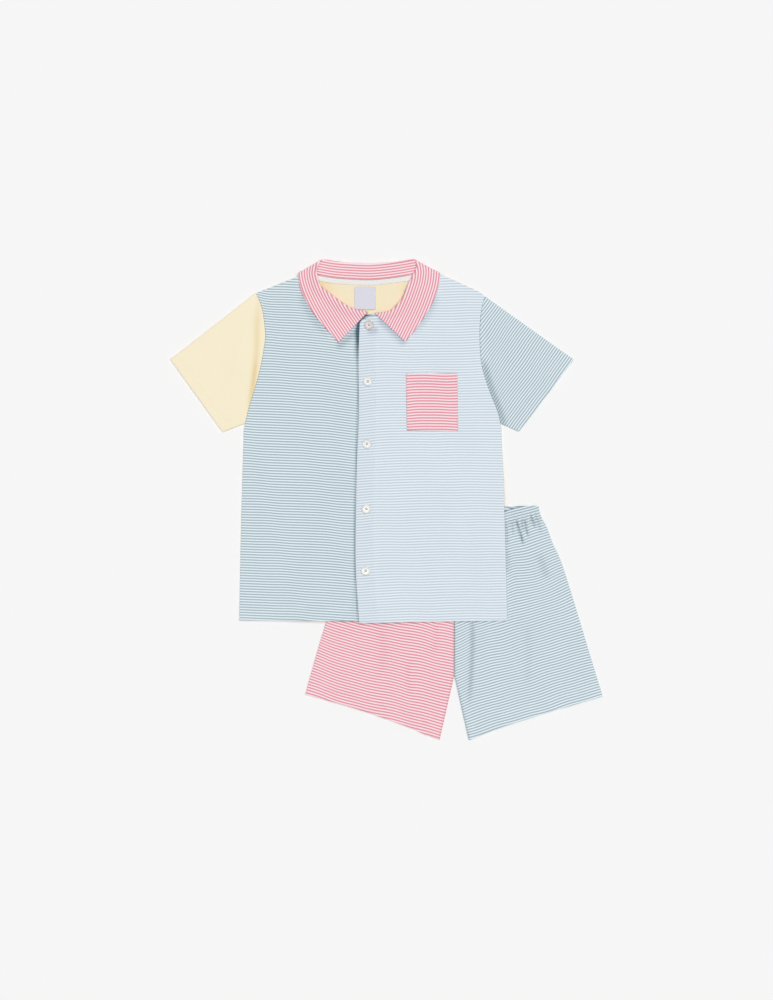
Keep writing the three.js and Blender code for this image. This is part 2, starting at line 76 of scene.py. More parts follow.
class Edge(Enum):
    """An edge of a panel. The value picks the edge's points out of a plan grid."""

    LEFT = np.s_[:, :1]
    RIGHT = np.s_[:, -1:]
    HEM = np.s_[:1]
    TOP = np.s_[-1:]


def ramp(start: float, end: float, value: np.ndarray) -> np.ndarray:
    """Go softly from 0 at start to 1 at end."""
    part = np.clip((np.asarray(value, float) - start) / (end - start), 0.0, 1.0)
    return part * part * (3.0 - 2.0 * part)


def mix(a: np.ndarray, b: np.ndarray, part: np.ndarray) -> np.ndarray:
    """Blend straight from a to b."""
    return a + (b - a) * part


def unit(vectors: np.ndarray) -> np.ndarray:
    """Scale vectors in the last axis to length 1."""
    return vectors / np.maximum(np.linalg.norm(vectors, axis=-1, keepdims=True), 1e-9)


def run_along(points: np.ndarray) -> np.ndarray:
    """Return how far along a row of points each one lies."""
    return np.concatenate([[0.0], np.cumsum(np.linalg.norm(np.diff(points, axis=0), axis=1))])


def through(points: np.ndarray, places: np.ndarray) -> np.ndarray:
    """Read a smooth curve that passes through every point.

    Args:
        points: Rows of values, one for each whole place.
        places: Where to read, from 0 to the last row's number.

    Returns:
        One row of values for each place.
    """
    points = np.asarray(points, float)
    last = len(points) - 1
    index = np.clip(np.floor(places).astype(int), 0, max(last - 1, 0))
    t = (places - index)[:, None]
    before, start = points[np.maximum(index - 1, 0)], points[index]
    end, after = points[np.minimum(index + 1, last)], points[np.minimum(index + 2, last)]
    rise, fall = (end - before) / 2, (after - start) / 2
    cubic = (2 * start - 2 * end + rise + fall) * t**3
    return cubic + (-3 * start + 3 * end - 2 * rise - fall) * t**2 + rise * t + start


@dataclass(frozen=True)
class Line:
    """A smooth line in plan through a few given points."""

    points: Sequence[Point]
    samples: int = 400

    def dense(self) -> np.ndarray:
        """Return many points along the line."""
        places = np.linspace(0, len(self.points) - 1, self.samples)
        return through(np.array(self.points, float), places)

    def length(self) -> float:
        """Return the line's length."""
        return float(np.linalg.norm(np.diff(self.dense(), axis=0), axis=1).sum())

    def at(self, parts: np.ndarray) -> np.ndarray:
        """Return the points at the given parts of the line's length."""
        dense = self.dense()
        run = run_along(dense)
        run /= run[-1]
        return np.stack([np.interp(parts, run, dense[:, 0]), np.interp(parts, run, dense[:, 1])], axis=1)

    def shifted(self, distance: float) -> "Line":
        """Return the line moved sideways, to its left for a distance above 0."""
        dense = self.dense()[:: self.samples // 40]
        along = unit(np.gradient(dense, axis=0))
        moved = dense + distance * np.stack([-along[:, 1], along[:, 0]], axis=1)
        return Line([tuple(p) for p in moved], self.samples)


@dataclass(frozen=True)
class Rim:
    """The rounded edge of a cloth: grid lines close to the edge, and how thick the cloth is on each."""

    radius: float = 0.6
    turns: tuple[float, ...] = (0.0, 30.0, 60.0)

    def parts(self, count: int, length: float, start: bool = True, end: bool = True) -> np.ndarray:
        """Space grid lines evenly, with the rim's own lines at the ends that have one."""
        inset = self.radius * (1 - np.cos(np.radians(self.turns))) / length
        first = self.radius / length if start else 0.0
        final = 1 - (self.radius / length if end else 0.0)
        inner = np.linspace(first, final, count)
        return np.concatenate([inset if start else [], inner, (1 - inset)[::-1] if end else []])

    def fullness(self, count: int, start: bool = True, end: bool = True) -> np.ndarray:
        """Return the share of the full thickness on each line that parts gives."""
        edge = np.sin(np.radians(self.turns))
        return np.concatenate([edge if start else [], np.ones(count), edge[::-1] if end else []])


def fill(under: np.ndarray, top: np.ndarray, left: np.ndarray, right: np.ndarray) -> np.ndarray:
    """Fill the space between four edges with rows of points.

    Args:
        under: Lower edge, from left to right.
        top: Upper edge, with as many points.
        left: Left edge, upward.
        right: Right edge, with as many points as the left one.

    Returns:
        Points as rows, columns and coordinates.
    """
    def parts(edge: np.ndarray) -> np.ndarray:
        """Return how far along its length each point of an edge is."""
        run = run_along(edge)
        return run / run[-1]

    u, v = parts(under)[None, :, None], parts(left)[:, None, None]
    across = mix(left[:, None], right[:, None], u)
    along = mix(under[None], top[None], v)
    corners = mix(mix(under[0], under[-1], u), mix(top[0], top[-1], u), v)
    return across + along - corners


def to_steps(dense: np.ndarray, place: np.ndarray) -> tuple[np.ndarray, np.ndarray]:
    """Return how far each place is from each step of a line, and the part of the step that is nearest.

    Args:
        dense: The line's points.
        place: Plan points, one a row.

    Returns:
        The gaps and the parts, with a row for each place and a column for each step.
    """
    start, step = dense[:-1], np.diff(dense, axis=0)
    part = np.einsum("pij,ij->pi", place[:, None] - start[None], step) / (step**2).sum(axis=1)
    part = np.clip(part, 0, 1)
    return np.linalg.norm(place[:, None] - start[None] - part[..., None] * step[None], axis=2), part


def away(line: Line, plan: np.ndarray) -> np.ndarray:
    """Return the distance from a line to each place of a plan grid."""
    gap, _ = to_steps(line.dense()[::4], plan.reshape(-1, 2))
    return gap.min(axis=1).reshape(plan.shape[:2])


def from_edges(grid: np.ndarray, *edges: Edge) -> np.ndarray:
    """Return how far each grid point is from the nearest of the named edges, along its row or column."""
    return np.min([np.linalg.norm(grid - grid[edge.value], axis=2) for edge in edges], axis=0)


@dataclass(frozen=True)
class Crease:
    """A soft ridge in the cloth, or a trough where its height is below 0, along a smooth line."""

    path: Sequence[Point]
    height: float
    width: float
    fade: float = 0.3
    samples: int = 48

    def lift(self, x: np.ndarray, y: np.ndarray) -> np.ndarray:
        """Return how far the crease lifts the cloth at each place.

        Args:
            x: X of the places.
            y: Y of the places.

        Returns:
            The lift, in the shape of x.
        """
        place = np.stack([np.ravel(x), np.ravel(y)], axis=1)
        gap, along = to_steps(Line(self.path, self.samples).dense(), place)
        nearest = gap.argmin(axis=1)
        rows = np.arange(len(place))
        run = (nearest + along[rows, nearest]) / gap.shape[1]
        taper = ramp(0, self.fade, run) * ramp(1, 1 - self.fade, run)
        bump = self.height * np.exp(-((gap[rows, nearest] / self.width) ** 2)) * taper
        return bump.reshape(np.shape(x))


def relief(creases: Sequence[Crease], x: np.ndarray, y: np.ndarray) -> np.ndarray:
    """Add up what every crease of a piece lifts."""
    return sum((crease.lift(x, y) for crease in creases), np.zeros(np.shape(x)))


@dataclass(frozen=True)
class Pull:
    """A place where the stripes are drawn aside by a shift that dies away over its reach along X and Y."""

    centre: Point
    reach: Point
    shift: float

    def at(self, x: np.ndarray, y: np.ndarray) -> np.ndarray:
        """Return the shift at each place."""
        u, v = (x - self.centre[0]) / self.reach[0], (y - self.centre[1]) / self.reach[1]
        return self.shift * np.exp(-(u**2 + v**2))


@dataclass(frozen=True)
class Lay:
    """How the stripes of one piece lie: their angle and spacing, soft waves along them, and local pulls."""

    angle: float = 0.0
    pitch: float = 3.35
    start: float = 0.0
    waves: tuple[tuple[float, float, float], ...] = ()
    pulls: tuple[Pull, ...] = ()
    wave_lean: float = 0.35

    def pattern(self, x: np.ndarray, y: np.ndarray) -> np.ndarray:
        """Return millimetres along the stripes and the number of stripes across them.

        Args:
            x: X of the places.
            y: Y of the places.

        Returns:
            Both numbers in a last axis added to the shape of x.
        """
        turn = math.radians(self.angle)
        u = x * math.cos(turn) + y * math.sin(turn)
        v = y * math.cos(turn) - x * math.sin(turn) + self.start
        for length, height, phase in self.waves:
            v = v + height * np.sin(2 * math.pi * (u + self.wave_lean * v) / length + phase)
        for pull in self.pulls:
            v = v + pull.at(x, y)
        return np.stack([u, v / self.pitch], axis=-1)


@dataclass(frozen=True)
class Layers:
    """The heights of the layers of cloth, from the floor up, and where one layer climbs over another.

    A pair of numbers says where a climb starts and where it is complete: an X, a Y or a distance.
    """

    cloth: float = 1.2
    collar_cloth: float = 1.6
    trim: float = 0.7
    seam: float = 0.3
    rest_gap: float = 0.6
    settled_gap: float = 0.25
    loft: float = 0.8
    shirt_middle: float = -17.0
    neck_middle: float = -21.0
    shorts_middle: float = 84.6
    half_waist: float = 105.0
    waist_y: float = -7.5
    front_dip: float = 13.0
    back_dip: float = 1.5
    casing_depth: float = 16.0
    casing_extra: float = 0.8
    gather_height: float = 0.9
    side_slope: float = 0.372
    climb_to_shorts: Point = (80, 18)
    climb_to_waist: Point = (-100, -50)
    climb_to_collar: Point = (218, 254)
    collar_sides: Point = (134, 98)
    puffed_sides: Point = (160, 130)
    puffed_top: Point = (268, 225)
    underlap: Point = (26, -6)
    flat_waist: Point = (0.90, 0.52)

    @property
    def on_top(self) -> float:
        """Return the step from one cloth up to the next."""
        return self.cloth + self.seam

    def shirt_underside(self, x: np.ndarray, y: np.ndarray) -> np.ndarray:
        """Lift the shirt over the shorts and over the back of the collar.

        Args:
            x: X of the places.
            y: Y of the places.

        Returns:
            The height of the shirt's underside.
        """
        side = self.shorts_middle - self.half_waist - self.side_slope * (self.waist_y - y)
        over_shorts = ramp(*self.climb_to_shorts, y - self.waist_y) * ramp(*self.climb_to_shorts, side - x)
        waist = 2 * self.casing_extra + self.gather_height
        beside_neck = ramp(*self.collar_sides, np.abs(x - self.neck_middle))
        over_collar = ramp(*self.climb_to_collar, y) * beside_neck
        stack = 2 * self.on_top + waist * ramp(*self.climb_to_waist, y)
        return over_shorts * stack + over_collar * (self.collar_cloth + self.rest_gap)

    def front_underside(self, x: np.ndarray, y: np.ndarray) -> np.ndarray:
        """Lay the right front on the back, a little puffed between the side seams."""
        puff = ramp(*self.puffed_sides, np.abs(x - self.shirt_middle)) * ramp(*self.puffed_top, y)
        return self.shirt_underside(x, y) + self.on_top + self.loft * puff

    def left_front_underside(self, x: np.ndarray, y: np.ndarray) -> np.ndarray:
        """Lay the left front on the right one along the middle."""
        return self.front_underside(x, y) + self.on_top * ramp(*self.underlap, x)

    def waist_line(self, x: np.ndarray, dip: float) -> np.ndarray:
        """Return the Y of a waist that dips in the middle and is flat near its sides."""
        out = np.abs(x - self.shorts_middle) / self.half_waist
        return self.waist_y - dip * np.maximum(0.0, 1 - out * out) * ramp(*self.flat_waist, out)

    def casing(self, x: np.ndarray, y: np.ndarray, dip: float) -> np.ndarray:
        """Return the extra height where the cloth is turned over the elastic."""
        edge = self.casing_depth
        return self.casing_extra * ramp(edge + 5, edge - 0.5, self.waist_line(x, dip) - y)

    def shorts_back_top(self, x: np.ndarray, y: np.ndarray) -> np.ndarray:
        """Return the height of the upper face of the shorts' back."""
        return self.cloth + self.casing(x, y, self.back_dip)


LAYERS = Layers()


def linear(colour: str, alpha: float = 1.0) -> tuple[float, float, float, float]:
    """Turn an sRGB hex colour into linear values.

    Args:
        colour: The colour, as # and six digits.
        alpha: The opacity.

    Returns:
        Red, green, blue and opacity.
    """
    parts = [int(colour[k : k + 2], 16) / 255 for k in (1, 3, 5)]
    red, green, blue = [c / 12.92 if c <= 0.04045 else ((c + 0.055) / 1.055) ** 2.4 for c in parts]
    return red, green, blue, alpha


def add_node(tree: bpy.types.NodeTree, kind: str, settings: Optional[dict] = None,
             links: Optional[dict] = None) -> bpy.types.Node:
    """Add a node to a tree.

    Args:
        tree: The node tree.
        kind: The node's Blender type.
        settings: Values by property name, or by the name or number of an input.
        links: The output that feeds each input, by the input's name or number.

    Returns:
        The new node.
    """
    node = tree.nodes.new(kind)
    for key, value in (settings or {}).items():
        if isinstance(key, str) and hasattr(node, key):
            setattr(node, key, value)
        else:
            node.inputs[key].default_value = value
    for key, output in (links or {}).items():
        tree.links.new(output, node.inputs[key])
    return node


class Graph:
    """The node tree of one new material, with the few kinds of node that the finishes share."""

    def __init__(self, name: str) -> None:
        """Start an empty material."""
        self.material = bpy.data.materials.new(name)
        self.material.use_nodes = True
        self.tree = self.material.node_tree
        self.tree.nodes.clear()
        self.place = add_node(self.tree, "ShaderNodeTexCoord").outputs["Object"]

    def noise(self, scale: float, detail: float, distortion: float = 0.0) -> Socket:
        """Add soft noise over the whole object."""
        settings = {"Scale": scale, "Detail": detail, "Distortion": distortion}
        return add_node(self.tree, "ShaderNodeTexNoise", settings, {0: self.place}).outputs[0]

    def maths(self, operation: str, *values: Fed) -> Socket:
        """Add a maths node, fed by numbers and by other nodes."""
        fed = {k: v for k, v in enumerate(values) if isinstance(v, Socket)}
        numbers = {k: v for k, v in enumerate(values) if k not in fed}
        return add_node(self.tree, "ShaderNodeMath", {"operation": operation, **numbers}, fed).outputs[0]

    def stretch(self, value: Socket, start: float, end: float, most: float = 1.0,
                way: str = "LINEAR") -> Socket:
        """Map a value from the span between start and end to the span from 0 to most.

        Args:
            value: The output to map.
            start: The value that becomes 0.
            end: The value that becomes most.
            most: The end of the new span.
            way: How it goes between them, in Blender's terms.

        Returns:
            The mapped output.
        """
        settings = {"interpolation_type": way, "From Min": start, "From Max": end, "To Max": most}
        return add_node(self.tree, "ShaderNodeMapRange", settings, {"Value": value}).outputs[0]

    def blend(self, first: Colour, second: Colour, share: Fed, kind: str = "MULTIPLY") -> Socket:
        """Blend a second colour into a first one by a share. A colour is a hex value or an output.

        Args:
            first: The colour at a share of 0.
            second: The colour blended in.
            share: The share.
            kind: The way to blend, in Blender's terms.

        Returns:
            The blended colour.
        """
        inputs = {0: share, 6: first, 7: second}
        fed = {k: v for k, v in inputs.items() if isinstance(v, Socket)}
        values = {k: linear(v) if isinstance(v, str) else v for k, v in inputs.items() if k not in fed}
        settings = {"data_type": "RGBA", "blend_type": kind, **values}
        return add_node(self.tree, "ShaderNodeMix", settings, fed).outputs[2]

    def pattern(self) -> tuple[Socket, Socket]:
        """Read the place in the cloth's pattern, along and across it."""
        cloth = add_node(self.tree, "ShaderNodeUVMap", {"uv_map": "cloth"})
        split = add_node(self.tree, "ShaderNodeSeparateXYZ", links={0: cloth.outputs[0]})
        return split.outputs[0], split.outputs[1]

    def finish(self, colour: Colour, settings: dict,
               bump: Optional[tuple[float, float, Socket]] = None) -> bpy.types.Material:
        """Close the material with its surface.

        Args:
            colour: The base colour, as a hex value or an output.
            settings: The surface's other values by the name of the input.
            bump: The bumps' strength, their depth in metres and their height, or none.

        Returns:
            The finished material.
        """
        links = {}
        if isinstance(colour, str):
            settings = {"Base Color": linear(colour), **settings}
        else:
            links["Base Color"] = colour
        if bump:
            strength, depth, height = bump
            bumps = add_node(self.tree, "ShaderNodeBump", {"Strength": strength, "Distance": depth},
                             {"Height": height})
            links["Normal"] = bumps.outputs[0]
        shader = add_node(self.tree, "ShaderNodeBsdfPrincipled", settings, links)
        add_node(self.tree, "ShaderNodeOutputMaterial", links={0: shader.outputs[0]})
        return self.material


@dataclass(frozen=True)
class Jersey:
    """Cotton single jersey, knitted in the round and lightly brushed.

    The stripes are knitted in with dyed yarn, so they are soft at their edges and as matt as the ground.
    The real wales are 0.7 mm apart, too fine for the picture, so they are drawn 0.9 mm apart.
    """

    name: str
    ground: str
    stripe: Optional[str] = None
    # The colour that painted shade blends towards; on the blue cloth it also tints the button band.
    shade: str = "#b8b8b8"
    share: float = 0.5
    softness: float = 0.09
    wander: float = 0.10
    fleck: float = 0.10
    cloud: float = 0.08
    wale: float = 0.9
    courses: float = 6.0
    loops: float = 0.6
    nap: float = 1.2
    bump: float = 0.35
    relief: float = 0.10

    def coloured(self, graph: Graph, across: Socket, fleck: Socket) -> Socket:
        """Return the colour of the stripes with the unevenness of the yarn and the painted shade of folds,
        edges and overlaps.

        Args:
            graph: The material's nodes.
            across: The number of stripes across the cloth.
            fleck: The fine noise of the yarn.

        Returns:
            The colour.
        """
        wander = graph.maths("MULTIPLY_ADD", graph.noise(260.0, 2.0), self.wander, -self.wander / 2)
        edge = (1 - self.share) / 2
        turn = graph.maths("PINGPONG", graph.maths("ADD", across, wander), 0.5)
        band = graph.stretch(turn, edge - self.softness, edge + self.softness, way="SMOOTHSTEP")
        colour = graph.blend(self.ground, self.stripe or self.ground, band if self.stripe else 0.0, "MIX")
        flecks = graph.stretch(fleck, *NOISE_SPAN, self.fleck)
        clouds = graph.stretch(graph.noise(22.0, 2.0), *NOISE_SPAN, self.cloud)
        uneven = graph.blend(colour, "#e6e6e8", graph.maths("ADD", flecks, clouds))
        # Painted shade: each point's share blends the cloth towards its shade colour. The button band's
        # slight tint comes in the same way.
        tone = add_node(graph.tree, "ShaderNodeAttribute", {"attribute_name": "tone"})
        return graph.blend(uneven, self.shade, tone.outputs["Fac"])

    def material(self) -> bpy.types.Material:
        """Build the finish: a matt, slightly fluffy cloth with the knit's fine V-shaped loops."""
        graph = Graph(self.name)
        along, across = graph.pattern()
        melange = graph.noise(900.0, 3.0)
        colour = self.coloured(graph, across, melange)
        wales = graph.maths("SINE", graph.maths("MULTIPLY", along, 2 * math.pi / self.wale))
        slant = graph.maths("ABSOLUTE", wales)
        loops = graph.maths("SINE", graph.maths("MULTIPLY_ADD", across, 2 * math.pi * self.courses, slant))
        knit = graph.maths("MULTIPLY_ADD", loops, self.loops, slant)
        nap = graph.maths("MULTIPLY_ADD", melange, self.nap, knit)
        surface = {"Roughness": 0.92, "IOR": 1.46, "Specular IOR Level": 0.25, "Sheen Weight": 0.18,
                   "Sheen Roughness": 0.55, "Sheen Tint": linear("#fdfcfa")}
        return graph.finish(colour, surface, (self.bump, self.relief * MM, nap))


@dataclass(frozen=True)
class Thread:
    """Spun polyester sewing thread: a soft twist of fibres with a slight shine."""

    name: str
    colour: str
    twist: float = 0.45

    def material(self) -> bpy.types.Material:
        """Build the finish."""
        graph = Graph(self.name)
        ply = add_node(graph.tree, "ShaderNodeTexWave",
                       {"Scale": 1000 / self.twist / 2, "Distortion": 1.5, "Detail": 1.0}, {0: graph.place})
        colour = graph.blend(self.colour, ply.outputs[0], 0.25)
        surface = {"Roughness": 0.6, "IOR": 1.5, "Sheen Weight": 0.1}
        return graph.finish(colour, surface, (0.4, 0.05 * MM, ply.outputs[1]))


@dataclass(frozen=True)
class Woven:
    """A narrow woven trim: cotton twill tape, or a damask label with a smooth satin face."""

    name: str
    colour: str
    rib: float
    slope: float
    roughness: float
    sheen: float
    relief: float = 0.12
    fuzz: float = 0.3

    def material(self) -> bpy.types.Material:
        """Build the finish."""
        graph = Graph(self.name)
        along, across = graph.pattern()
        leaning = graph.maths("MULTIPLY_ADD", across, self.slope, along)
        ribs = graph.maths("SINE", graph.maths("MULTIPLY", leaning, 2 * math.pi / self.rib))
        fuzz = graph.stretch(graph.noise(700.0, 3.0), *NOISE_SPAN, self.fuzz)
        surface = {"Roughness": self.roughness, "IOR": 1.48, "Specular IOR Level": 0.35,
                   "Sheen Weight": self.sheen}
        return graph.finish(graph.blend(self.colour, "#d9d9de", fuzz), surface, (0.5, self.relief * MM, ribs))


@dataclass(frozen=True)
class Resin:
    """Cast polyester resin with a pearl effect, turned and polished: milky, with soft drifting bands."""

    name: str = "pearl_resin"
    light: str = "#fbfaf5"
    dim: str = "#dfe0df"

    def material(self) -> bpy.types.Material:
        """Build the finish."""
        graph = Graph(self.name)
        bands = graph.stretch(graph.noise(210.0, 3.0, 1.6), 0.35, 0.7)
        surface = {"Roughness": 0.22, "IOR": 1.54, "Coat Weight": 0.4, "Coat Roughness": 0.08,
                   "Subsurface Weight": 0.15, "Subsurface Radius": (1.0, 0.9, 0.8),
                   "Subsurface Scale": 0.6 * MM}
        return graph.finish(graph.blend(self.light, self.dim, bands, "MIX"), surface)


@dataclass(frozen=True)
class Paper:
    """Matt background paper, rolled out under the set: even and without shine."""

    name: str = "background_paper"
    colour: str = "#f6f6f6"

    def material(self) -> bpy.types.Material:
        """Build the finish."""
        graph = Graph(self.name)
        surface = {"Roughness": 1.0, "Specular IOR Level": 0.0}
        return graph.finish(self.colour, surface, (0.05, 0.1 * MM, graph.noise(400.0, 2.0)))


class Finish(Enum):
    """Every finish of the set."""

    YELLOW = Jersey("butter_yellow_knit", "#fbf0d2", shade="#e4cb84")
    TEAL = Jersey("grey_teal_striped_knit", "#e8f5fb", "#a9bac1", shade="#5f7884")
    BLUE = Jersey("pale_blue_striped_knit", "#ebf4fa", "#c9d5df", shade="#8795ad")
    PINK = Jersey("coral_pink_striped_knit", "#ffe7ed", "#e797a3", shade="#cf7f8a")
    TAPE = Woven("cotton_tape", "#f5f3f1", 1.1, 1.0, 0.85, 0.2)
    LABEL = Woven("satin_label", "#dedce6", 0.8, 0.0, 0.5, 0.1, 0.05)
    BUTTON = Resin()
    # Painted shade: a dimmer, warmer copy of the pearl resin for the top button, which lies in the collar's
    # shade.
    SHADED_TOP_BUTTON = Resin("shaded_pearl_resin", "#e6dedb", "#cdc4c2")
    PAPER = Paper()
    WHITE_THREAD = Thread("white_thread", "#eef2f4")
    YELLOW_THREAD = Thread("yellow_thread", "#f9edcf")
    PINK_THREAD = Thread("pink_thread", "#f7c9d0")
    KHAKI_THREAD = Thread("khaki_thread", "#b9b6a0")

    def dress(self, piece: bpy.types.Object) -> bpy.types.Object:
        """Give a piece this finish, which is built when it is first used."""
        material = bpy.data.materials.get(self.value.name) or self.value.material()
        piece.data.materials.append(material)
        return piece


@dataclass
class Cloth:
    """A closed thin body of cloth: points, four-sided faces, the pattern at each corner, and the share of
    painted shade and tint at each point.
    """

    points: np.ndarray
    quads: np.ndarray
    pattern: np.ndarray
    tone: np.ndarray

    @staticmethod
    def between(outer: np.ndarray, inner: np.ndarray, pattern: np.ndarray, tone: np.ndarray,
                ring: bool = False) -> "Cloth":
        """Join two grids that share their rims.

        Args:
            outer: The upper or outer face, as rows, columns and coordinates.
            inner: The lower or inner face, with the same rim.
            pattern: The pattern at each grid point.
            tone: The share of painted shade and tint at each grid point.
            ring: Whether the last column joins the first.

        Returns:
            The closed body.
        """
        rows, columns = outer.shape[:2]
        above = np.arange(rows * columns).reshape(rows, columns)
        below = above + rows * columns
        below[0], below[-1] = above[0], above[-1]
        if not ring:
            below[:, 0], below[:, -1] = above[:, 0], above[:, -1]
        first = np.arange(columns if ring else columns - 1)
        second = (first + 1) % columns

        def corners(grid: np.ndarray) -> np.ndarray:
            """Return the four corners of each face of a grid."""
            low, high = grid[:-1], grid[1:]
            around = [low[:, first], low[:, second], high[:, second], high[:, first]]
            return np.stack(around, -1).reshape(-1, 4)

        quads = np.concatenate([corners(above), corners(below)[:, ::-1]])
        looks = np.concatenate([corners(above), corners(above)[:, ::-1]])
        used, quads = np.unique(quads, return_inverse=True)
        points = np.concatenate([outer.reshape(-1, 3), inner.reshape(-1, 3)])[used]
        painted_shades_and_tints = np.concatenate([tone.ravel(), tone.ravel() * 0])[used]
        return Cloth(points, quads.reshape(-1, 4), pattern.reshape(-1, 2)[looks], painted_shades_and_tints)

    def piece(self, name: str, finish: Finish) -> bpy.types.Object:
        """Make the object in metres and give it its finish."""
        mesh = bpy.data.meshes.new(name)
        mesh.from_pydata((self.points * MM).tolist(), [], self.quads.tolist())
        layer = mesh.uv_layers.new(name="cloth")
        layer.data.foreach_set("uv", self.pattern.astype(np.float32).ravel())
        # Each point's share of painted shade and tint goes to the material as a point attribute.
        tone = mesh.attributes.new("tone", "FLOAT", "POINT")
        tone.data.foreach_set("value", self.tone.astype(np.float32))
        return put_in_scene(name, mesh, finish)


def put_in_scene(name: str, mesh: bpy.types.Mesh, finish: Finish) -> bpy.types.Object:
    """Make an object of a mesh and dress it."""
    mesh.shade_smooth()
    mesh.validate()
    piece = bpy.data.objects.new(name, mesh)
    bpy.context.scene.collection.objects.link(piece)
    return finish.dress(piece)


def loose_mesh(name: str, points: Sequence[Sequence[float]], faces: Sequence[Sequence[int]],
               finish: Finish) -> bpy.types.Object:
    """Make an object in metres from points in millimetres and faces of any size.

    Args:
        name: The object's name.
        points: The points.
        faces: The faces, as lists of point numbers.
        finish: The finish that it gets.

    Returns:
        The object.
    """
    mesh = bpy.data.meshes.new(name)
    mesh.from_pydata([[c * MM for c in p] for p in points], [], faces)
    return put_in_scene(name, mesh, finish)


def circle(x: float, y: float, z: float, radius: float, sides: int) -> list[list[float]]:
    """Return points round a level circle."""
    turns = np.linspace(0, 2 * math.pi, sides, endpoint=False)
    return [[x + radius * math.cos(a), y + radius * math.sin(a), z] for a in turns]


def tube_faces(start: int, rings: int, sides: int, capped: bool = True) -> list[list[int]]:
    """Return the faces between rings of points, which are numbered ring by ring from start.

    Args:
        start: The number of the first point.
        rings: How many rings there are.
        sides: How many points each ring has.
        capped: Whether both ends are closed.

    Returns:
        The faces, as lists of point numbers.
    """
    faces = []
    for ring in range(rings - 1):
        low, high = start + ring * sides, start + (ring + 1) * sides
        faces += [[low + k, low + (k + 1) % sides, high + (k + 1) % sides, high + k] for k in range(sides)]
    if capped:
        faces.append([start + k for k in reversed(range(sides))])
        faces.append([start + (rings - 1) * sides + k for k in range(sides)])
    return faces


def sheet_from(grid: np.ndarray, middle: np.ndarray, thickness: np.ndarray, lay: Lay,
               tone: Optional[np.ndarray] = None) -> Cloth:
    """Close a sheet that lies nearly flat.

    Args:
        grid: Plan points.
        middle: The height of the middle of the cloth.
        thickness: The full thickness, 0 along the rim.
        lay: How the stripes lie.
        tone: The share of painted shade and tint, or none.

    Returns:
        The closed body.
    """
    upper = np.dstack([grid, middle + thickness / 2])
    lower = np.dstack([grid, middle - thickness / 2])
    shade = np.zeros(grid.shape[:2]) if tone is None else tone
    return Cloth.between(upper, lower, lay.pattern(grid[..., 0], grid[..., 1]), shade)


@dataclass(frozen=True)
class Stitches:
    """A row of machine stitches along a line: a stitch's length, the gap to the next, the thread's radius."""

    path: Line
    face: Face = Face.TOP
    length: float = 2.2
    gap: float = 0.8
    radius: float = 0.17
    sides: int = 5

    def centres(self) -> tuple[np.ndarray, np.ndarray]:
        """Return the middle and the direction of each stitch in plan."""
        total = self.path.length()
        count = max(1, int(total / (self.length + self.gap)))
        parts = (np.arange(count) + 0.5) / count
        reach = self.length / 2 / total
        ahead, behind = self.path.at(np.minimum(parts + reach, 1)), self.path.at(np.maximum(parts - reach, 0))
        return self.path.at(parts), unit(ahead - behind)


class Sewing:
    """Sews rows of stitches on to pieces, each stitch resting on the cloth that it finds.

    Each row of the profile is a ring round a stitch: its place along the stitch, its share of the thread's
    radius, and how far it rises from the cloth. The ends of a stitch dip into the cloth. The cloth is looked
    for from a height in metres that is well clear of the set.
    """

    profile = ((-0.5, 0.35, -0.22), (-0.25, 1.0, 0.06), (0.25, 1.0, 0.06), (0.5, 0.35, -0.22))
    search_from = 0.1

    def __init__(self, *pieces: bpy.types.Object) -> None:
        """Take the pieces that are sewn through."""
        points: list[Vector] = []
        faces: list[list[int]] = []
        for piece in pieces:
            start = len(points)
            points += [vertex.co.copy() for vertex in piece.data.vertices]
            faces += [[start + k for k in face.vertices] for face in piece.data.polygons]
        self.surface = BVHTree.FromPolygons(points, faces)

    def height(self, x: float, y: float, face: Face) -> Optional[float]:
        """Return the height of the cloth's top or underside at a place, or None off the cloth."""
        start = Vector((x * MM, y * MM, -face.value * self.search_from))
        hit = self.surface.ray_cast(start, Vector((0, 0, face.value)))
        return None if hit[0] is None else hit[0].z / MM

    def sew(self, name: str, rows: Sequence[Stitches], finish: Finish) -> bpy.types.Object:
        """Make one piece of all the stitches.

        Args:
            name: The new piece's name.
            rows: The rows of stitches.
            finish: The thread.

        Returns:
            The piece of thread.
        """
        points: list[list[float]] = []
        faces: list[list[int]] = []
        for row in rows:
            turns = np.linspace(0, 2 * math.pi, row.sides, endpoint=False)
            for centre, along in zip(*row.centres()):
                rings = []
                for reach, full, rise in self.profile:
                    x, y = centre + along * reach * row.length
                    z = self.height(x, y, row.face)
                    if z is None:
                        break
                    z -= rise * row.face.value
                    for turn in turns:
                        side, up = np.cos(turn) * row.radius * full, np.sin(turn) * row.radius * full
                        rings.append([x - along[1] * side, y + along[0] * side, z + up])
                if len(rings) == len(self.profile) * row.sides:
                    faces += tube_faces(len(points), len(self.profile), row.sides)
                    points += rings
        LOG.info("%s: %d faces of thread", name, len(faces))
        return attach(loose_mesh(name, points, faces, finish), "root")


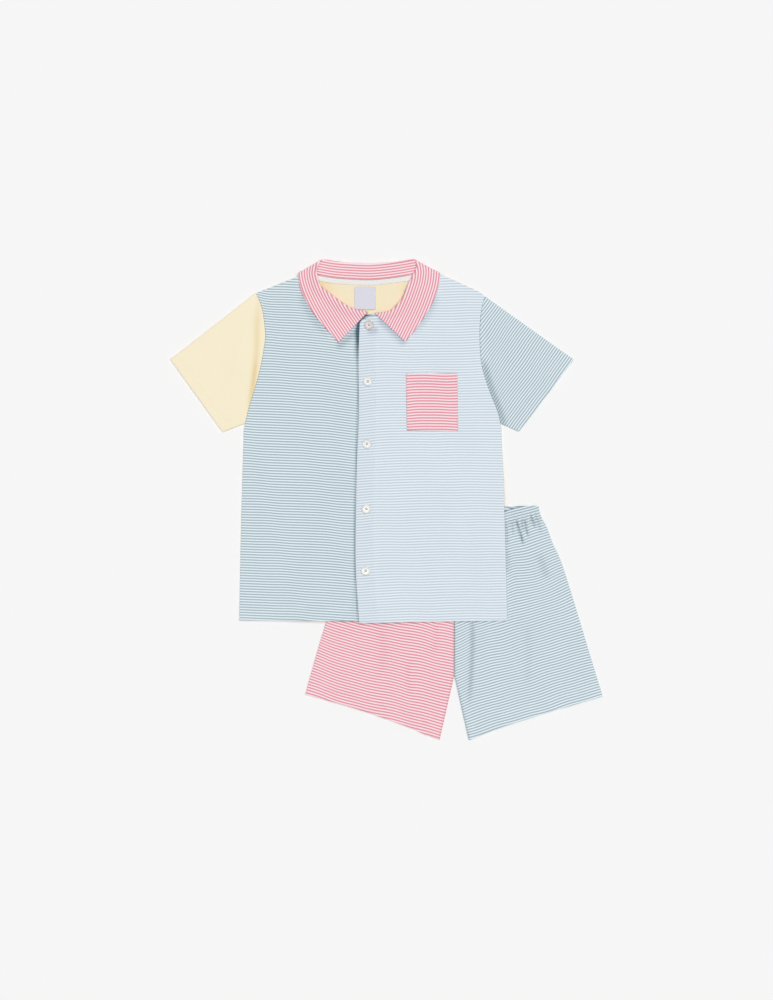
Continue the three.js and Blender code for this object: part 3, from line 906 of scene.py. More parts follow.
@dataclass(frozen=True)
class Shirt:
    """The body of the shirt: its edges in plan, from the hem upward or from left to right."""

    side_left: Line = Line([(-183.9, -150.4), (-181.5, -30), (-178.1, 88.6)])
    armhole_left: Line = Line([(-178.1, 88.6), (-171.1, 118), (-159.3, 157.5), (-151.8, 197), (-151.8, 215),
                               (-155.3, 239), (-162.8, 258.6)])
    side_right: Line = Line([(150.9, -150.5), (146.8, -6.3), (143.6, 88.6)])
    armhole_right: Line = Line([(143.6, 88.6), (139.1, 109.6), (128.3, 137.1), (118.8, 169.5), (116.4, 205),
                                (118.2, 235), (122.8, 253.8)])
    underlap: Line = Line([(-10, -151.4), (-10.5, 40), (-11.5, 233.6)])
    band_edge: Line = Line([(-34.1, -153.5), (-36.9, -115), (-38.8, -70.5), (-38.1, -3.6), (-36.9, 52.5),
                            (-34.7, 108), (-35.1, 175), (-33.5, 221)])
    band_top: Line = Line([(-33.5, 221), (-30.2, 224.8), (-24, 227.3), (-15.6, 229.9)])
    neck_corner_left: Point = (-94, 284.9)
    neck_corner_right: Point = (48.4, 286)
    side_rows: int = 88
    armhole_rows: int = 66
    shoulder_bow_right: tuple[Point, ...] = ((115.6, 260.2), (96, 269.0), (74, 278.3))
    shoulder_columns: int = 26
    neck_columns: int = 44
    rim: Rim = Rim()
    seam_reach: float = 5.0
    seam_drop: float = 0.42
    seam_rise: float = 0.3
    hem_depth: float = 17.0
    hem_step: float = 0.35
    hem_stitches: Point = (-2.5, 0.7)
    band_width: float = 22.5

    @property
    def rim_lines(self) -> int:
        """Return how many grid lines the rims at both ends of a row take."""
        return 2 * len(self.rim.turns)

    def side(self, side: Line, armhole: Line) -> np.ndarray:
        """Return the points of a side seam and the armhole above it."""
        low = side.at(self.rim.parts(self.side_rows, side.length(), end=False))
        high = armhole.at(self.rim.parts(self.armhole_rows, armhole.length(), start=False))
        return np.concatenate([low, high[1:]])

    def edge(self, line: Line) -> np.ndarray:
        """Return the points of an edge of a front, with as many rows as the side opposite it."""
        rows = len(self.rows_full()) - self.rim_lines
        return line.at(self.rim.parts(rows, line.length()))

    def rows_full(self) -> np.ndarray:
        """Return the share of full thickness on each row."""
        low = self.rim.fullness(self.side_rows, end=False)
        return np.concatenate([low, self.rim.fullness(self.armhole_rows, start=False)[1:]])

    def shoulder(self, armhole: Line, corner: Point, bow: Sequence[Point] = ()) -> np.ndarray:
        """Return the points of a shoulder seam, from the armhole to the neck, by way of the bow's points."""
        seam = Line([armhole.points[-1], *bow, corner])
        return seam.at(self.rim.parts(self.shoulder_columns, seam.length(), end=False))

    def panel(self, top: np.ndarray, left: np.ndarray,
              right: np.ndarray) -> tuple[Line, np.ndarray, np.ndarray]:
        """Lay out a panel between three of its edges and a straight hem.

        Args:
            top: The shoulder and neck, from left to right.
            left: The left edge, upward.
            right: The right edge, upward.

        Returns:
            The hem, the plan grid and the share of full thickness at each grid point.
        """
        hem = Line([tuple(left[0]), tuple(right[0])])
        columns = len(top) - self.rim_lines
        grid = fill(hem.at(self.rim.parts(columns, hem.length())), top, left, right)
        return hem, grid, np.outer(self.rows_full(), self.rim.fullness(columns))

    def hem_rows(self, hem: Line) -> list[Stitches]:
        """Return the two rows of stitches of a turned hem."""
        return [Stitches(hem.shifted(self.hem_depth + step)) for step in self.hem_stitches]


@dataclass(frozen=True)
class Section:
    """One section across the collar: neck seam, roll, outer edge, how far it lies in front, and its bend."""

    seam: Point
    roll: Point
    edge: Point
    front: float
    bend: float


COLLAR_LEFT = (
    Section((-23.6, 231.6), (-23.3, 234.5), (-60, 196.5), 1, 1.3),
    Section((-42.5, 233.8), (-40.5, 237.7), (-72, 209.8), 1, 1.7),
    Section((-57.5, 241.5), (-55, 245.6), (-84, 223.5), 1, 2),
    Section((-72.5, 252.4), (-69.5, 256.4), (-94.5, 238), 1, 2),
    Section((-87, 264.8), (-82.8, 267.5), (-103, 253), 1, 2),
    Section((-90.6, 275.5), (-86.3, 279), (-108.2, 266), 1, 2),
    Section((-91.5, 281.5), (-87.2, 288.5), (-109.4, 275.2), 1, 1.9),
    Section((-91.4, 285.4), (-83.2, 297), (-110.2, 281), 0.85, 1.7),
    Section((-90.2, 286.4), (-79.6, 299.3), (-109, 283.2), 0.45, 1.5),
    Section((-88, 285.2), (-74, 299.2), (-105.5, 283.2), 0.08, 1.4),
    Section((-83, 280.3), (-66, 298), (-94, 273), 0, 1.3),
    Section((-64.4, 277.2), (-53.4, 296.3), (-72, 266.5), 0, 1.3),
    Section((-42.6, 275.6), (-37, 295.2), (-46, 263), 0, 1.3),
)
COLLAR_BACK = (Section((-21, 274.9), (-20.6, 294.8), (-21, 262), 0, 1.3),)
COLLAR_RIGHT = (
    Section((-12.6, 229.9), (-14, 232.6), (23.1, 197.5), 1, 1.3),
    Section((7, 231.6), (4, 235.4), (34.5, 210.5), 1, 1.7),
    Section((17.8, 240.6), (13.7, 243.9), (45.5, 226), 1, 2),
    Section((25.6, 251.4), (20.8, 253.5), (54.6, 240.5), 1, 2),
    Section((30.6, 263.4), (25.6, 265.2), (60.8, 253.5), 1, 2),
    Section((35.8, 274.4), (31.2, 277.2), (65, 266.5), 1, 2),
    Section((41, 281.6), (36, 285.4), (66.6, 275), 1, 1.9),
    Section((44.2, 286.4), (37.6, 294), (67, 281.6), 0.85, 1.7),
    Section((44.4, 288.2), (35.6, 299.3), (64.4, 283.6), 0.45, 1.5),
    Section((42, 287.4), (29, 299.4), (59.8, 283.8), 0.08, 1.4),
    Section((36, 282.2), (20, 298.2), (50, 276), 0, 1.3),
    Section((18, 279), (8, 296.6), (27, 268), 0, 1.3),
    Section((-1, 276.4), (-6, 295.4), (3, 263.6), 0, 1.3),
)


def neck_point(section: Section, clearance: float = 0.25) -> Point:
    """Return the panels' edge at a section of the collar, just clear of its seam."""
    seam, roll = np.array(section.seam), np.array(section.roll)
    return tuple(seam + unit(seam - roll) * clearance)


def front_neck(sections: Sequence[Section], corner: Point) -> Line:
    """Return a front's neckline, from the middle to the shoulder."""
    return Line([neck_point(s) for s in sections[:7]] + [corner])


def back_neck(shirt: Shirt) -> Line:
    """Return the back's neckline, from left to right."""
    left = [neck_point(s) for s in COLLAR_LEFT[10:]]
    right = [neck_point(s) for s in reversed(COLLAR_RIGHT[10:])]
    middle = [neck_point(s) for s in COLLAR_BACK]
    return Line([shirt.neck_corner_left, *left, *middle, *right, shirt.neck_corner_right])


def hem_thickness(from_fold: np.ndarray, depth: float, step: float) -> np.ndarray:
    """Return the extra thickness of a turned hem, by the distance from its fold."""
    inside, outside = 0.4, 1.6
    return step * ramp(depth + outside, depth - inside, from_fold)


@dataclass(frozen=True)
class ShirtBack:
    """The back of the shirt, plain yellow. It is seen through the neck and from behind."""

    shirt: Shirt = Shirt()
    columns: int = 110
    lay: Lay = Lay(pitch=1.0)
    cut: Point = (0.345, 0.46)
    # Painted shade on the inside of the back, seen through the neck.
    inner_shade: float = 0.3
    shaded_top: Point = (225, 245)
    shaded_sides: Point = (34, 62)
    deepest: float = -0.2
    creases: tuple[Crease, ...] = (
        Crease([(-60, 262), (-42, 246), (-30, 232)], 0.35, 5),
        Crease([(20, 264), (8, 250), (-2, 236)], 0.3, 5),
        Crease([(-20, 258), (-24, 246), (-20, 234)], -0.2, 6),
    )

    def build(self) -> bpy.types.Object:
        shirt = self.shirt
        count = self.columns - 2 * shirt.shoulder_columns + 2
        left = shirt.shoulder(shirt.armhole_left, shirt.neck_corner_left)
        right = shirt.shoulder(shirt.armhole_right, shirt.neck_corner_right, shirt.shoulder_bow_right)[::-1]
        top = np.concatenate([left, back_neck(shirt).at(np.linspace(0, 1, count))[1:-1], right])
        _, grid, full = shirt.panel(top, shirt.side(shirt.side_left, shirt.armhole_left),
                                    shirt.side(shirt.side_right, shirt.armhole_right))
        x, y = grid[..., 0], grid[..., 1]
        rise = shirt.seam_rise * ramp(shirt.seam_reach, 0, from_edges(grid, Edge.LEFT, Edge.RIGHT))
        crease = np.maximum(relief(self.creases, x, y), self.deepest)
        middle = LAYERS.shirt_underside(x, y) + LAYERS.cloth / 2 + rise + crease
        # Painted shade: darker towards the top and towards the ends of the collar's stand.
        beside = ramp(*self.shaded_sides, np.abs(x - LAYERS.neck_middle + 2))
        tone = self.inner_shade * ramp(*self.shaded_top, y) * (0.35 + beside)
        cloth = sheet_from(grid, middle, LAYERS.cloth * full, self.lay, tone)
        piece = cloth.piece("back_cloth", Finish.YELLOW)
        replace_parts(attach(piece, "root"), "shirt_back")
        return piece


@dataclass(frozen=True)
class RightFront:
    """The wearer's right front, teal stripe, with an underlap that lies below the button side."""

    shirt: Shirt = Shirt()
    cut: Point = (0.19, 0.46)
    # Painted shade: a dark line beside the button band's edge where it lies on this front, and a faint one
    # under the band.
    band_shade: float = 0.5
    band_shade_middle: float = -0.6
    band_shade_width: float = 1.4
    underlap_shade: float = 0.08
    lay: Lay = Lay(angle=-1.8, pitch=3.29, waves=((150, 0.4, 0.4), (64, 0.28, 1.7), (37, 0.12, 0.2)),
                   pulls=(Pull((-30, 20), (42, 330), 3.8), Pull((-180, 130), (80, 120), -3.0),
                          Pull((-150, 215), (26, 30), -1.2), Pull((-120, 262), (30, 16), 1.0),
                          Pull((-164, 246), (10, 24), -2.6)))
    # Painted shade by the top of the button band, by its foot, and below the collar's point and edge.
    shades: tuple[Crease, ...] = (
        Crease([(-8, 240), (-22, 233), (-30, 228), (-35, 220), (-36.5, 200), (-37, 168)], 0.95, 2.8, 0.25),
        Crease([(-42.4, -104), (-42.4, -130), (-42.4, -160)], 0.2, 0.9),
        Crease([(-30, 218), (-42, 207), (-56, 195), (-64, 188)], 0.3, 4.5),
        Crease([(-106, 262), (-103, 246), (-88, 222), (-70, 202)], 0.2, 4.5),
    )
    creases: tuple[Crease, ...] = (
        Crease([(-146, 240), (-122, 228), (-98, 232)], 0.45, 6),
        Crease([(-150, 200), (-126, 196), (-104, 206)], 0.4, 7),
        Crease([(-158, 160), (-128, 150), (-96, 158)], 0.35, 8),
        Crease([(-172, 70), (-130, 60), (-84, 74)], 0.3, 10),
        Crease([(-120, -20), (-96, -60), (-92, -110)], 0.35, 11),
        Crease([(-160, -60), (-140, -96), (-142, -136)], 0.3, 9),
        Crease([(-56, 120), (-52, 60), (-58, 6)], 0.35, 7),
        Crease([(-44, 150), (-45.5, 20), (-44, -140)], -0.25, 4.5, 0.1),
    )

    def build(self) -> bpy.types.Object:
        shirt = self.shirt
        neck = front_neck(COLLAR_LEFT, shirt.neck_corner_left)
        end = Line([neck.points[0], shirt.underlap.points[-1]])
        top = np.concatenate([shirt.shoulder(shirt.armhole_left, shirt.neck_corner_left),
                              neck.at(np.linspace(1, 0, shirt.neck_columns))[1:],
                              end.at(shirt.rim.parts(6, end.length(), start=False))[1:]])
        left = shirt.side(shirt.side_left, shirt.armhole_left)
        hem, grid, full = shirt.panel(top, left, shirt.edge(shirt.underlap))
        x, y = grid[..., 0], grid[..., 1]
        drop = shirt.seam_drop * ramp(shirt.seam_reach, 0, from_edges(grid, Edge.LEFT))
        extra = hem_thickness(from_edges(grid, Edge.HEM), shirt.hem_depth, shirt.hem_step)
        crease = relief(self.creases, x, y)
        middle = LAYERS.front_underside(x, y) + LAYERS.cloth / 2 - drop + crease + extra / 2
        # Painted shade along the button band's edge, under the band, and along the shade lines.
        band = shirt.band_edge.dense()
        beside = x - np.interp(y, band[:, 1], band[:, 0])
        line = np.exp(-(((beside - self.band_shade_middle) / self.band_shade_width) ** 2))
        tone = self.band_shade * line + self.underlap_shade * ramp(-6, 0, beside) + relief(self.shades, x, y)
        cloth = sheet_from(grid, middle, (LAYERS.cloth + extra) * full, self.lay, tone)
        piece = cloth.piece("right_front_cloth", Finish.TEAL)
        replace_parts(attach(piece, "root"), "right_front")
        thread = Sewing(piece).sew("right_front_hem_stitches", shirt.hem_rows(hem), Finish.WHITE_THREAD)
        return piece


@dataclass(frozen=True)
class LeftFront:
    """The wearer's left front, pale blue stripe, with the button band stitched along its edge."""

    shirt: Shirt = Shirt()
    cut: Point = (0.2, 0.46)
    band_step: float = 0.4
    band_stitches: float = 1.6
    band_tone: float = 0.04
    lay: Lay = Lay(angle=0.3, pitch=3.35, waves=((170, 0.4, 2.0), (70, 0.3, 0.6), (41, 0.1, 1.1)),
                   pulls=(Pull((-42, 30), (22, 260), 2.6), Pull((-34, -130), (40, 40), 1.8),
                          Pull((38, 182), (26, 14), 1.6), Pull((118, 120), (22, 70), -0.9),
                          Pull((-30, 214), (20, 10), 1.2)))
    # Painted shade below the right leaf's front edge, by the top button and along the leaf's outer edge.
    shades: tuple[Crease, ...] = (
        Crease([(-12, 229), (0, 218), (14, 205), (26, 193)], 0.4, 5.0, 0.2),
        Crease([(-26, 211), (-16, 211), (-10, 214)], 0.3, 4.0),
        Crease([(62, 262), (58, 244), (46, 224), (30, 204)], 0.22, 4.5),
    )
    creases: tuple[Crease, ...] = (
        Crease([(12, 190), (44, 184), (70, 196)], 0.5, 8),
        Crease([(60, 230), (84, 205), (108, 196)], 0.4, 9),
        Crease([(108, 150), (116, 110), (112, 60)], 0.35, 9),
        Crease([(4, 110), (10, 60), (2, 10)], 0.3, 8),
        Crease([(60, 20), (84, -20), (92, -70)], 0.45, 10),
        Crease([(40, -40), (58, -80), (60, -120)], 0.3, 10),
        Crease([(112, -30), (118, -70), (110, -110)], 0.4, 9),
        Crease([(-9, 200), (-11, 20), (-9, -140)], -0.22, 2.2, 0.06),
    )

    def lift(self, x: np.ndarray, y: np.ndarray) -> np.ndarray:
        """Return how far this front's creases lift what lies on it."""
        return relief(self.creases, x, y)

    def build(self) -> bpy.types.Object:
        shirt = self.shirt
        neck = front_neck(COLLAR_RIGHT, shirt.neck_corner_right)
        start = shirt.band_top.at(shirt.rim.parts(10, shirt.band_top.length(), end=False))
        shoulder = shirt.shoulder(shirt.armhole_right, shirt.neck_corner_right, shirt.shoulder_bow_right)
        top = np.concatenate([start, neck.at(np.linspace(0, 1, shirt.neck_columns)), shoulder[-2::-1]])
        right = shirt.side(shirt.side_right, shirt.armhole_right)
        hem, grid, full = shirt.panel(top, shirt.edge(shirt.band_edge), right)
        x, y = grid[..., 0], grid[..., 1]
        from_edge = from_edges(grid, Edge.LEFT)
        drop = shirt.seam_drop * ramp(shirt.seam_reach, 0, from_edges(grid, Edge.RIGHT))
        extra = np.maximum(hem_thickness(from_edges(grid, Edge.HEM), shirt.hem_depth, shirt.hem_step),
                           hem_thickness(from_edge, shirt.band_width, self.band_step))
        middle = LAYERS.left_front_underside(x, y) + LAYERS.cloth / 2 - drop + self.lift(x, y) + extra / 2
        # The button band gets a slight cooler tint of its own; the shade lines add painted shade below the
        # collar and by the top button.
        in_band = ramp(shirt.band_width + 1, shirt.band_width - 1, from_edge)
        cloth = sheet_from(grid, middle, (LAYERS.cloth + extra) * full, self.lay,
                           self.band_tone * in_band + relief(self.shades, x, y))
        piece = cloth.piece("left_front_cloth", Finish.BLUE)
        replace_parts(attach(piece, "root"), "left_front")
        band_row = Stitches(shirt.band_edge.shifted(-shirt.band_width + self.band_stitches))
        rows = [*shirt.hem_rows(hem), band_row]
        thread = Sewing(piece).sew("left_front_stitches", rows, Finish.WHITE_THREAD)
        return piece


@dataclass(frozen=True)
class Sleeve:
    """A short sleeve: one piece of cloth folded along the top of the arm, open at the cuff."""

    wearer: Wearer
    armhole: Line
    cuff_top: Point
    cuff_under: Point
    lay: Lay
    finish: Finish
    thread: Finish
    slot: str
    node: str
    creases: tuple[Crease, ...]
    # Painted shade lines along the folds beside the armhole.
    shades: tuple[Crease, ...]
    cut: Point
    rows: int = 54
    columns: int = 56
    half_gap: float = 0.75
    puff: float = 0.9
    puff_start: float = 0.15
    puff_span: float = 0.7
    underarm: float = 0.045
    turn_reach: float = 0.02
    seam_gap: float = 0.15
    hem_depth: float = 14.0
    hem_step: float = 0.3
    hem_stitches: Point = (-2.4, 0.8)
    rim: Rim = Rim()

    def build(self) -> bpy.types.Object:
        turn = self.turn_reach * (1 - np.cos(np.radians(np.arange(0, 90, 15))))
        flat = np.linspace(self.turn_reach, 1 - self.turn_reach, self.columns)
        across = np.concatenate([turn, flat, 1 - turn[::-1]])
        cuff = Line([self.cuff_under, self.cuff_top])
        outward = self.wearer.value
        start = self.armhole.at(mix(self.underarm, 1.0, across)) + np.array([self.seam_gap * outward, 0.0])
        end = cuff.at(across)
        length = float(np.linalg.norm(end - start, axis=1).mean())
        along = self.rim.parts(self.rows, length)
        plan = mix(start[None], end[None], along[:, None, None])
        side = np.minimum(across, 1 - across) / self.turn_reach
        rounding = np.where(side >= 1, 1.0, np.sqrt(np.maximum(0.0, 1 - (1 - side) ** 2)))
        bulge = np.sin(math.pi * (self.puff_start + self.puff_span * along))
        puff = self.puff * np.sin(math.pi * across)[None] * bulge[:, None]
        middle = LAYERS.cloth / 2 + self.half_gap
        x, y = plan[..., 0], plan[..., 1]
        lift = relief(self.creases, x, y) * np.minimum(1, side / 3)[None]
        upper = np.dstack([plan, middle + self.half_gap * rounding[None] + puff + lift])
        lower = np.dstack([plan, middle - self.half_gap * np.tile(rounding, (len(along), 1))])
        ring = np.concatenate([upper, lower[:, -2:0:-1]], axis=1)
        if outward < 0:
            ring = ring[:, ::-1]
        lengths = np.concatenate([end - start, (end - start)[-2:0:-1]])
        from_cuff = (1 - along[:, None]) * np.linalg.norm(lengths, axis=1)
        full = np.tile(self.rim.fullness(self.rows)[:, None], (1, ring.shape[1]))
        hem = hem_thickness(from_cuff, self.hem_depth, self.hem_step)
        ring[..., 2] += hem
        by_row = np.roll(ring, -1, axis=1) - np.roll(ring, 1, axis=1)
        facing = unit(np.cross(by_row, np.gradient(ring, axis=0)))
        outward_up = np.median(facing[:, :, 2] * (ring[..., 2] - middle)) > 0
        offset = facing * (1.0 if outward_up else -1.0) * ((LAYERS.cloth + hem) * full / 2)[..., None]
        pattern = self.lay.pattern(ring[..., 0], ring[..., 1])
        # Painted shade along the folds beside the armhole.
        tone = relief(self.shades, ring[..., 0], ring[..., 1])
        wearer = self.wearer.name.lower()
        piece = Cloth.between(ring + offset, ring - offset, pattern, tone, ring=True).piece(
            f"{wearer}_sleeve_cloth", self.finish)
        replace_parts(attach(piece, "root"), self.node)
        rows = [Stitches(cuff.shifted(outward * (self.hem_depth + step)), face)
                for step in self.hem_stitches for face in Face]
        thread = Sewing(piece).sew(f"{wearer}_sleeve_stitches", rows, self.thread)
        return piece


@dataclass(frozen=True)
class Collar:
    """The collar: a stand that rises from the neck seam, rolls over and falls on to the fronts.

    The grain lines are the ones that its stripes follow: one on each side in front, one along the back. Each
    turn is a pair of section numbers, counted from a front end, between which one look gives way to another.
    """

    steps: int = 9
    stand_columns: int = 9
    fall_columns: int = 20
    fall_settle: float = 12.0
    pitch: float = 3.27
    cut: Point = (0.40, 0.06)
    grain_left: Line = Line([(-98, 322), (-105, 306), (-109, 293), (-110.2, 281), (-107.7, 268), (-103, 255),
                             (-94.2, 237), (-79.8, 213), (-69.2, 197), (-36.9, 150)])
    grain_right: Line = Line([(58, 322), (62, 308), (65.5, 296), (67, 284), (65.5, 270), (62.4, 258),
                              (55.3, 238), (46.4, 218), (37.6, 200), (13.2, 150)])
    grain_back: Line = Line([(-120, 287), (-100, 283.2), (-83, 280.3), (-64.4, 277.2), (-42.6, 275.6),
                             (-21, 274.9), (-1, 276.4), (18, 279), (36, 282.2), (52, 285.2), (72, 288)])
    rim: Rim = Rim(0.8)
    edge_curl: float = 0.35
    section_length: float = 17.0
    stand_length: float = 20.0
    fall_length: float = 38.0
    fall_turns: Point = (8.4, 9.6)
    fall_start: float = 0.1
    stand_turns: Point = (5, 8)
    stand_start: float = 0.15
    # Painted shade on the stand near both of its ends, below the leaves' rolls.
    corner_shade: float = 0.6
    corner_turns: Point = (8.5, 9.5)
    corner_depth: Point = (26, 18)
    corner_sides: Point = (36, 54)

    def build(self) -> bpy.types.Object:
        sections = (*COLLAR_LEFT, *COLLAR_BACK, *reversed(COLLAR_RIGHT))
        table = np.array([[*s.seam, *s.roll, *s.edge, s.front, s.bend] for s in sections], float)
        last = len(sections) - 1
        lines = self.rim.parts(last * self.steps + 1, self.section_length * last) * last
        from_end = np.minimum(lines, last - lines)
        rows = through(table, lines)
        seam, roll, edge = rows[:, 0:2], rows[:, 2:4], rows[:, 4:6]
        front, bend = np.clip(rows[:, 6], 0, 1), rows[:, 7]
        half = LAYERS.collar_cloth / 2
        left_front = LeftFront()
        wearers_right = seam[:, 0] < LAYERS.neck_middle

        def beneath(plan: np.ndarray) -> np.ndarray:
            """Return the height of the underside of the front below each place."""
            x, y = plan[:, 0], plan[:, 1]
            left = LAYERS.left_front_underside(x, y) + left_front.lift(x, y)
            return np.where(wearers_right, LAYERS.front_underside(x, y), left)

        up, down = unit(roll - seam), unit(edge - roll)
        share = np.minimum(1, 1.2 * front)
        seam_z = mix(LAYERS.shirt_underside(seam[:, 0], seam[:, 1]) + half, beneath(seam) + half, share)
        stand_end = mix(half + 2 * bend, beneath(seam) + half, share)
        fall_start = stand_end + 2 * bend * mix(-1.0, 1.0, front)
        points: list[np.ndarray] = []

        def put(plan: np.ndarray, height: np.ndarray) -> None:
            """Add one point to every section."""
            points.append(np.column_stack([plan, height]))

        stand_top = roll - up * bend[:, None]
        stand_parts = self.rim.parts(self.stand_columns, self.stand_length, end=False)
        for part in stand_parts[:-1]:
            put(mix(seam, stand_top, part), mix(seam_z, stand_end, part))
        roll_angles = np.radians(np.arange(-90, 91, 20))
        for angle in roll_angles:
            way = up if angle < 0 else -down
            plan = roll + way * (bend * (math.cos(angle) - 1))[:, None]
            put(plan, mix(stand_end, fall_start, (1 + math.sin(angle)) / 2))
        fall_top = roll + down * bend[:, None]
        length = np.linalg.norm(edge - fall_top, axis=1)
        for part in self.rim.parts(self.fall_columns, self.fall_length, start=False)[1:]:
            plan = mix(fall_top, edge, part)
            settled = beneath(plan) + LAYERS.cloth + LAYERS.settled_gap + half
            curl = self.edge_curl * ramp(0.75, 1.0, part) * front
            rest = mix(np.full(len(rows), half), settled + curl, front)
            put(plan, mix(fall_start, rest, ramp(0, self.fall_settle, part * length)))
        middle = np.stack(points, axis=1)
        columns = middle.shape[1]
        # The stand's stripes go on over the inner half of the roll.
        in_stand = len(stand_parts) - 1 + len(roll_angles) // 2
        rims = 2 * len(self.rim.turns)
        full = np.outer(self.rim.fullness(len(lines) - rims), self.rim.fullness(columns - rims))
        facing = unit(np.cross(np.gradient(middle, axis=1), np.gradient(middle, axis=0)))
        offset = facing * (half * full)[..., None]
        from_seam = np.stack([run_along(row) for row in middle])
        along = np.tile(run_along(edge)[:, None], (1, columns))
        plan = middle[..., :2]
        from_grain = away(self.grain_right, plan), away(self.grain_left, plan)
        in_front = mix(*from_grain, wearers_right[:, None].astype(float))
        behind = length[:, None] - np.linalg.norm(plan - fall_top[:, None], axis=2)
        turned = (ramp(*self.fall_turns, lines) * ramp(*(last - t for t in self.fall_turns), lines))[:, None]
        fall = np.stack([along, mix(in_front, behind, turned) / self.pitch + self.fall_start], axis=-1)
        back = self.grain_back.dense()
        above_seam = plan[..., 1] - np.interp(plan[..., 0], back[:, 0], back[:, 1])
        under_leaf = mix(from_seam, above_seam, ramp(*self.stand_turns, from_end)[:, None])
        stand = np.stack([along, under_leaf / self.pitch + self.stand_start], axis=-1)
        # Painted shade on the stand near its ends.
        beside = ramp(*self.corner_sides, np.abs(plan[..., 0] - LAYERS.neck_middle + 1))
        tone = self.corner_shade * ramp(*self.corner_depth, from_seam) * beside
        tone = tone * ramp(*self.corner_turns, from_end)[:, None]
        cloth = Cloth.between(middle + offset, middle - offset, fall, tone)
        stand_cloth = Cloth.between(middle + offset, middle - offset, stand, tone)
        column = np.tile(np.arange(columns - 1), 2 * (len(rows) - 1))
        cloth.pattern[column < in_stand] = stand_cloth.pattern[column < in_stand]
        piece = cloth.piece("collar_cloth", Finish.PINK)
        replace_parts(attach(piece, "root"), "collar")
        return piece


@dataclass(frozen=True)
class Patch:
    """The chest pocket: a patch sewn down on three sides, with a hem along its open top."""

    corners: tuple[Point, Point, Point, Point] = ((25.6, 86.9), (89.4, 85.6), (88.4, 158.1), (24.4, 158.1))
    top_middle: Point = (56, 157.7)
    count: int = 34
    length: float = 70.0
    hem_depth: float = 13.0
    turning: float = 6.0
    step: float = 0.3
    puff: float = 0.35
    puff_reach: Point = (3, 16)
    puff_waves: Point = (11, 17)
    stitch_inset: float = 1.8
    hem_stitch: float = 1.5
    lay: Lay = Lay(angle=-1.0, pitch=3.52, start=0.6, waves=((58, 0.3, 0.8), (31, 0.12, 2.0)),
                   pulls=(Pull((21, 118), (12, 44), 1.5), Pull((92, 130), (10, 34), -0.4)))
    cut: Point = (0.074, 0.084)
    rim: Rim = Rim()

    def build(self, ground: HeightAt) -> bpy.types.Object:
        """Build the pocket.

        Args:
            ground: The lift of the front below it.

        Returns:
            The pocket's cloth.
        """
        under_left, under_right, top_right, top_left = self.corners
        bottom, top = Line([under_left, under_right]), Line([top_left, self.top_middle, top_right])
        left, right = Line([under_left, top_left]), Line([under_right, top_right])
        parts = self.rim.parts(self.count, self.length)
        grid = fill(bottom.at(parts), top.at(parts), left.at(parts), right.at(parts))
        x, y = grid[..., 0], grid[..., 1]
        fullness = self.rim.fullness(self.count)
        full = np.outer(fullness, fullness)
        sewn = from_edges(grid, Edge.LEFT, Edge.RIGHT, Edge.HEM)
        extra = np.maximum(hem_thickness(from_edges(grid, Edge.TOP), self.hem_depth, self.step),
                           hem_thickness(sewn, self.turning, self.step))
        wave = np.sin(x / self.puff_waves[0] + y / self.puff_waves[1])
        # A slow wave keeps the puffed middle from lying evenly.
        puff = self.puff * ramp(*self.puff_reach, sewn) * (0.6 + 0.4 * wave)
        thick = (LAYERS.cloth + extra) * full
        middle = (LAYERS.left_front_underside(x, y) + LAYERS.cloth + ground(x, y) + LAYERS.settled_gap
                  + LAYERS.cloth / 2 + extra / 2 + puff)
        piece = sheet_from(grid, middle, thick, self.lay).piece("pocket_cloth", Finish.PINK)
        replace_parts(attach(piece, "root"), "chest_pocket")
        rows = [Stitches(Line([a, b]).shifted(self.stitch_inset))
                for a, b in ((under_left, under_right), (under_right, top_right), (top_left, under_left))]
        rows.append(Stitches(top.shifted(-self.hem_depth + self.hem_stitch)))
        thread = Sewing(piece).sew("pocket_stitches", rows, Finish.PINK_THREAD)
        return piece


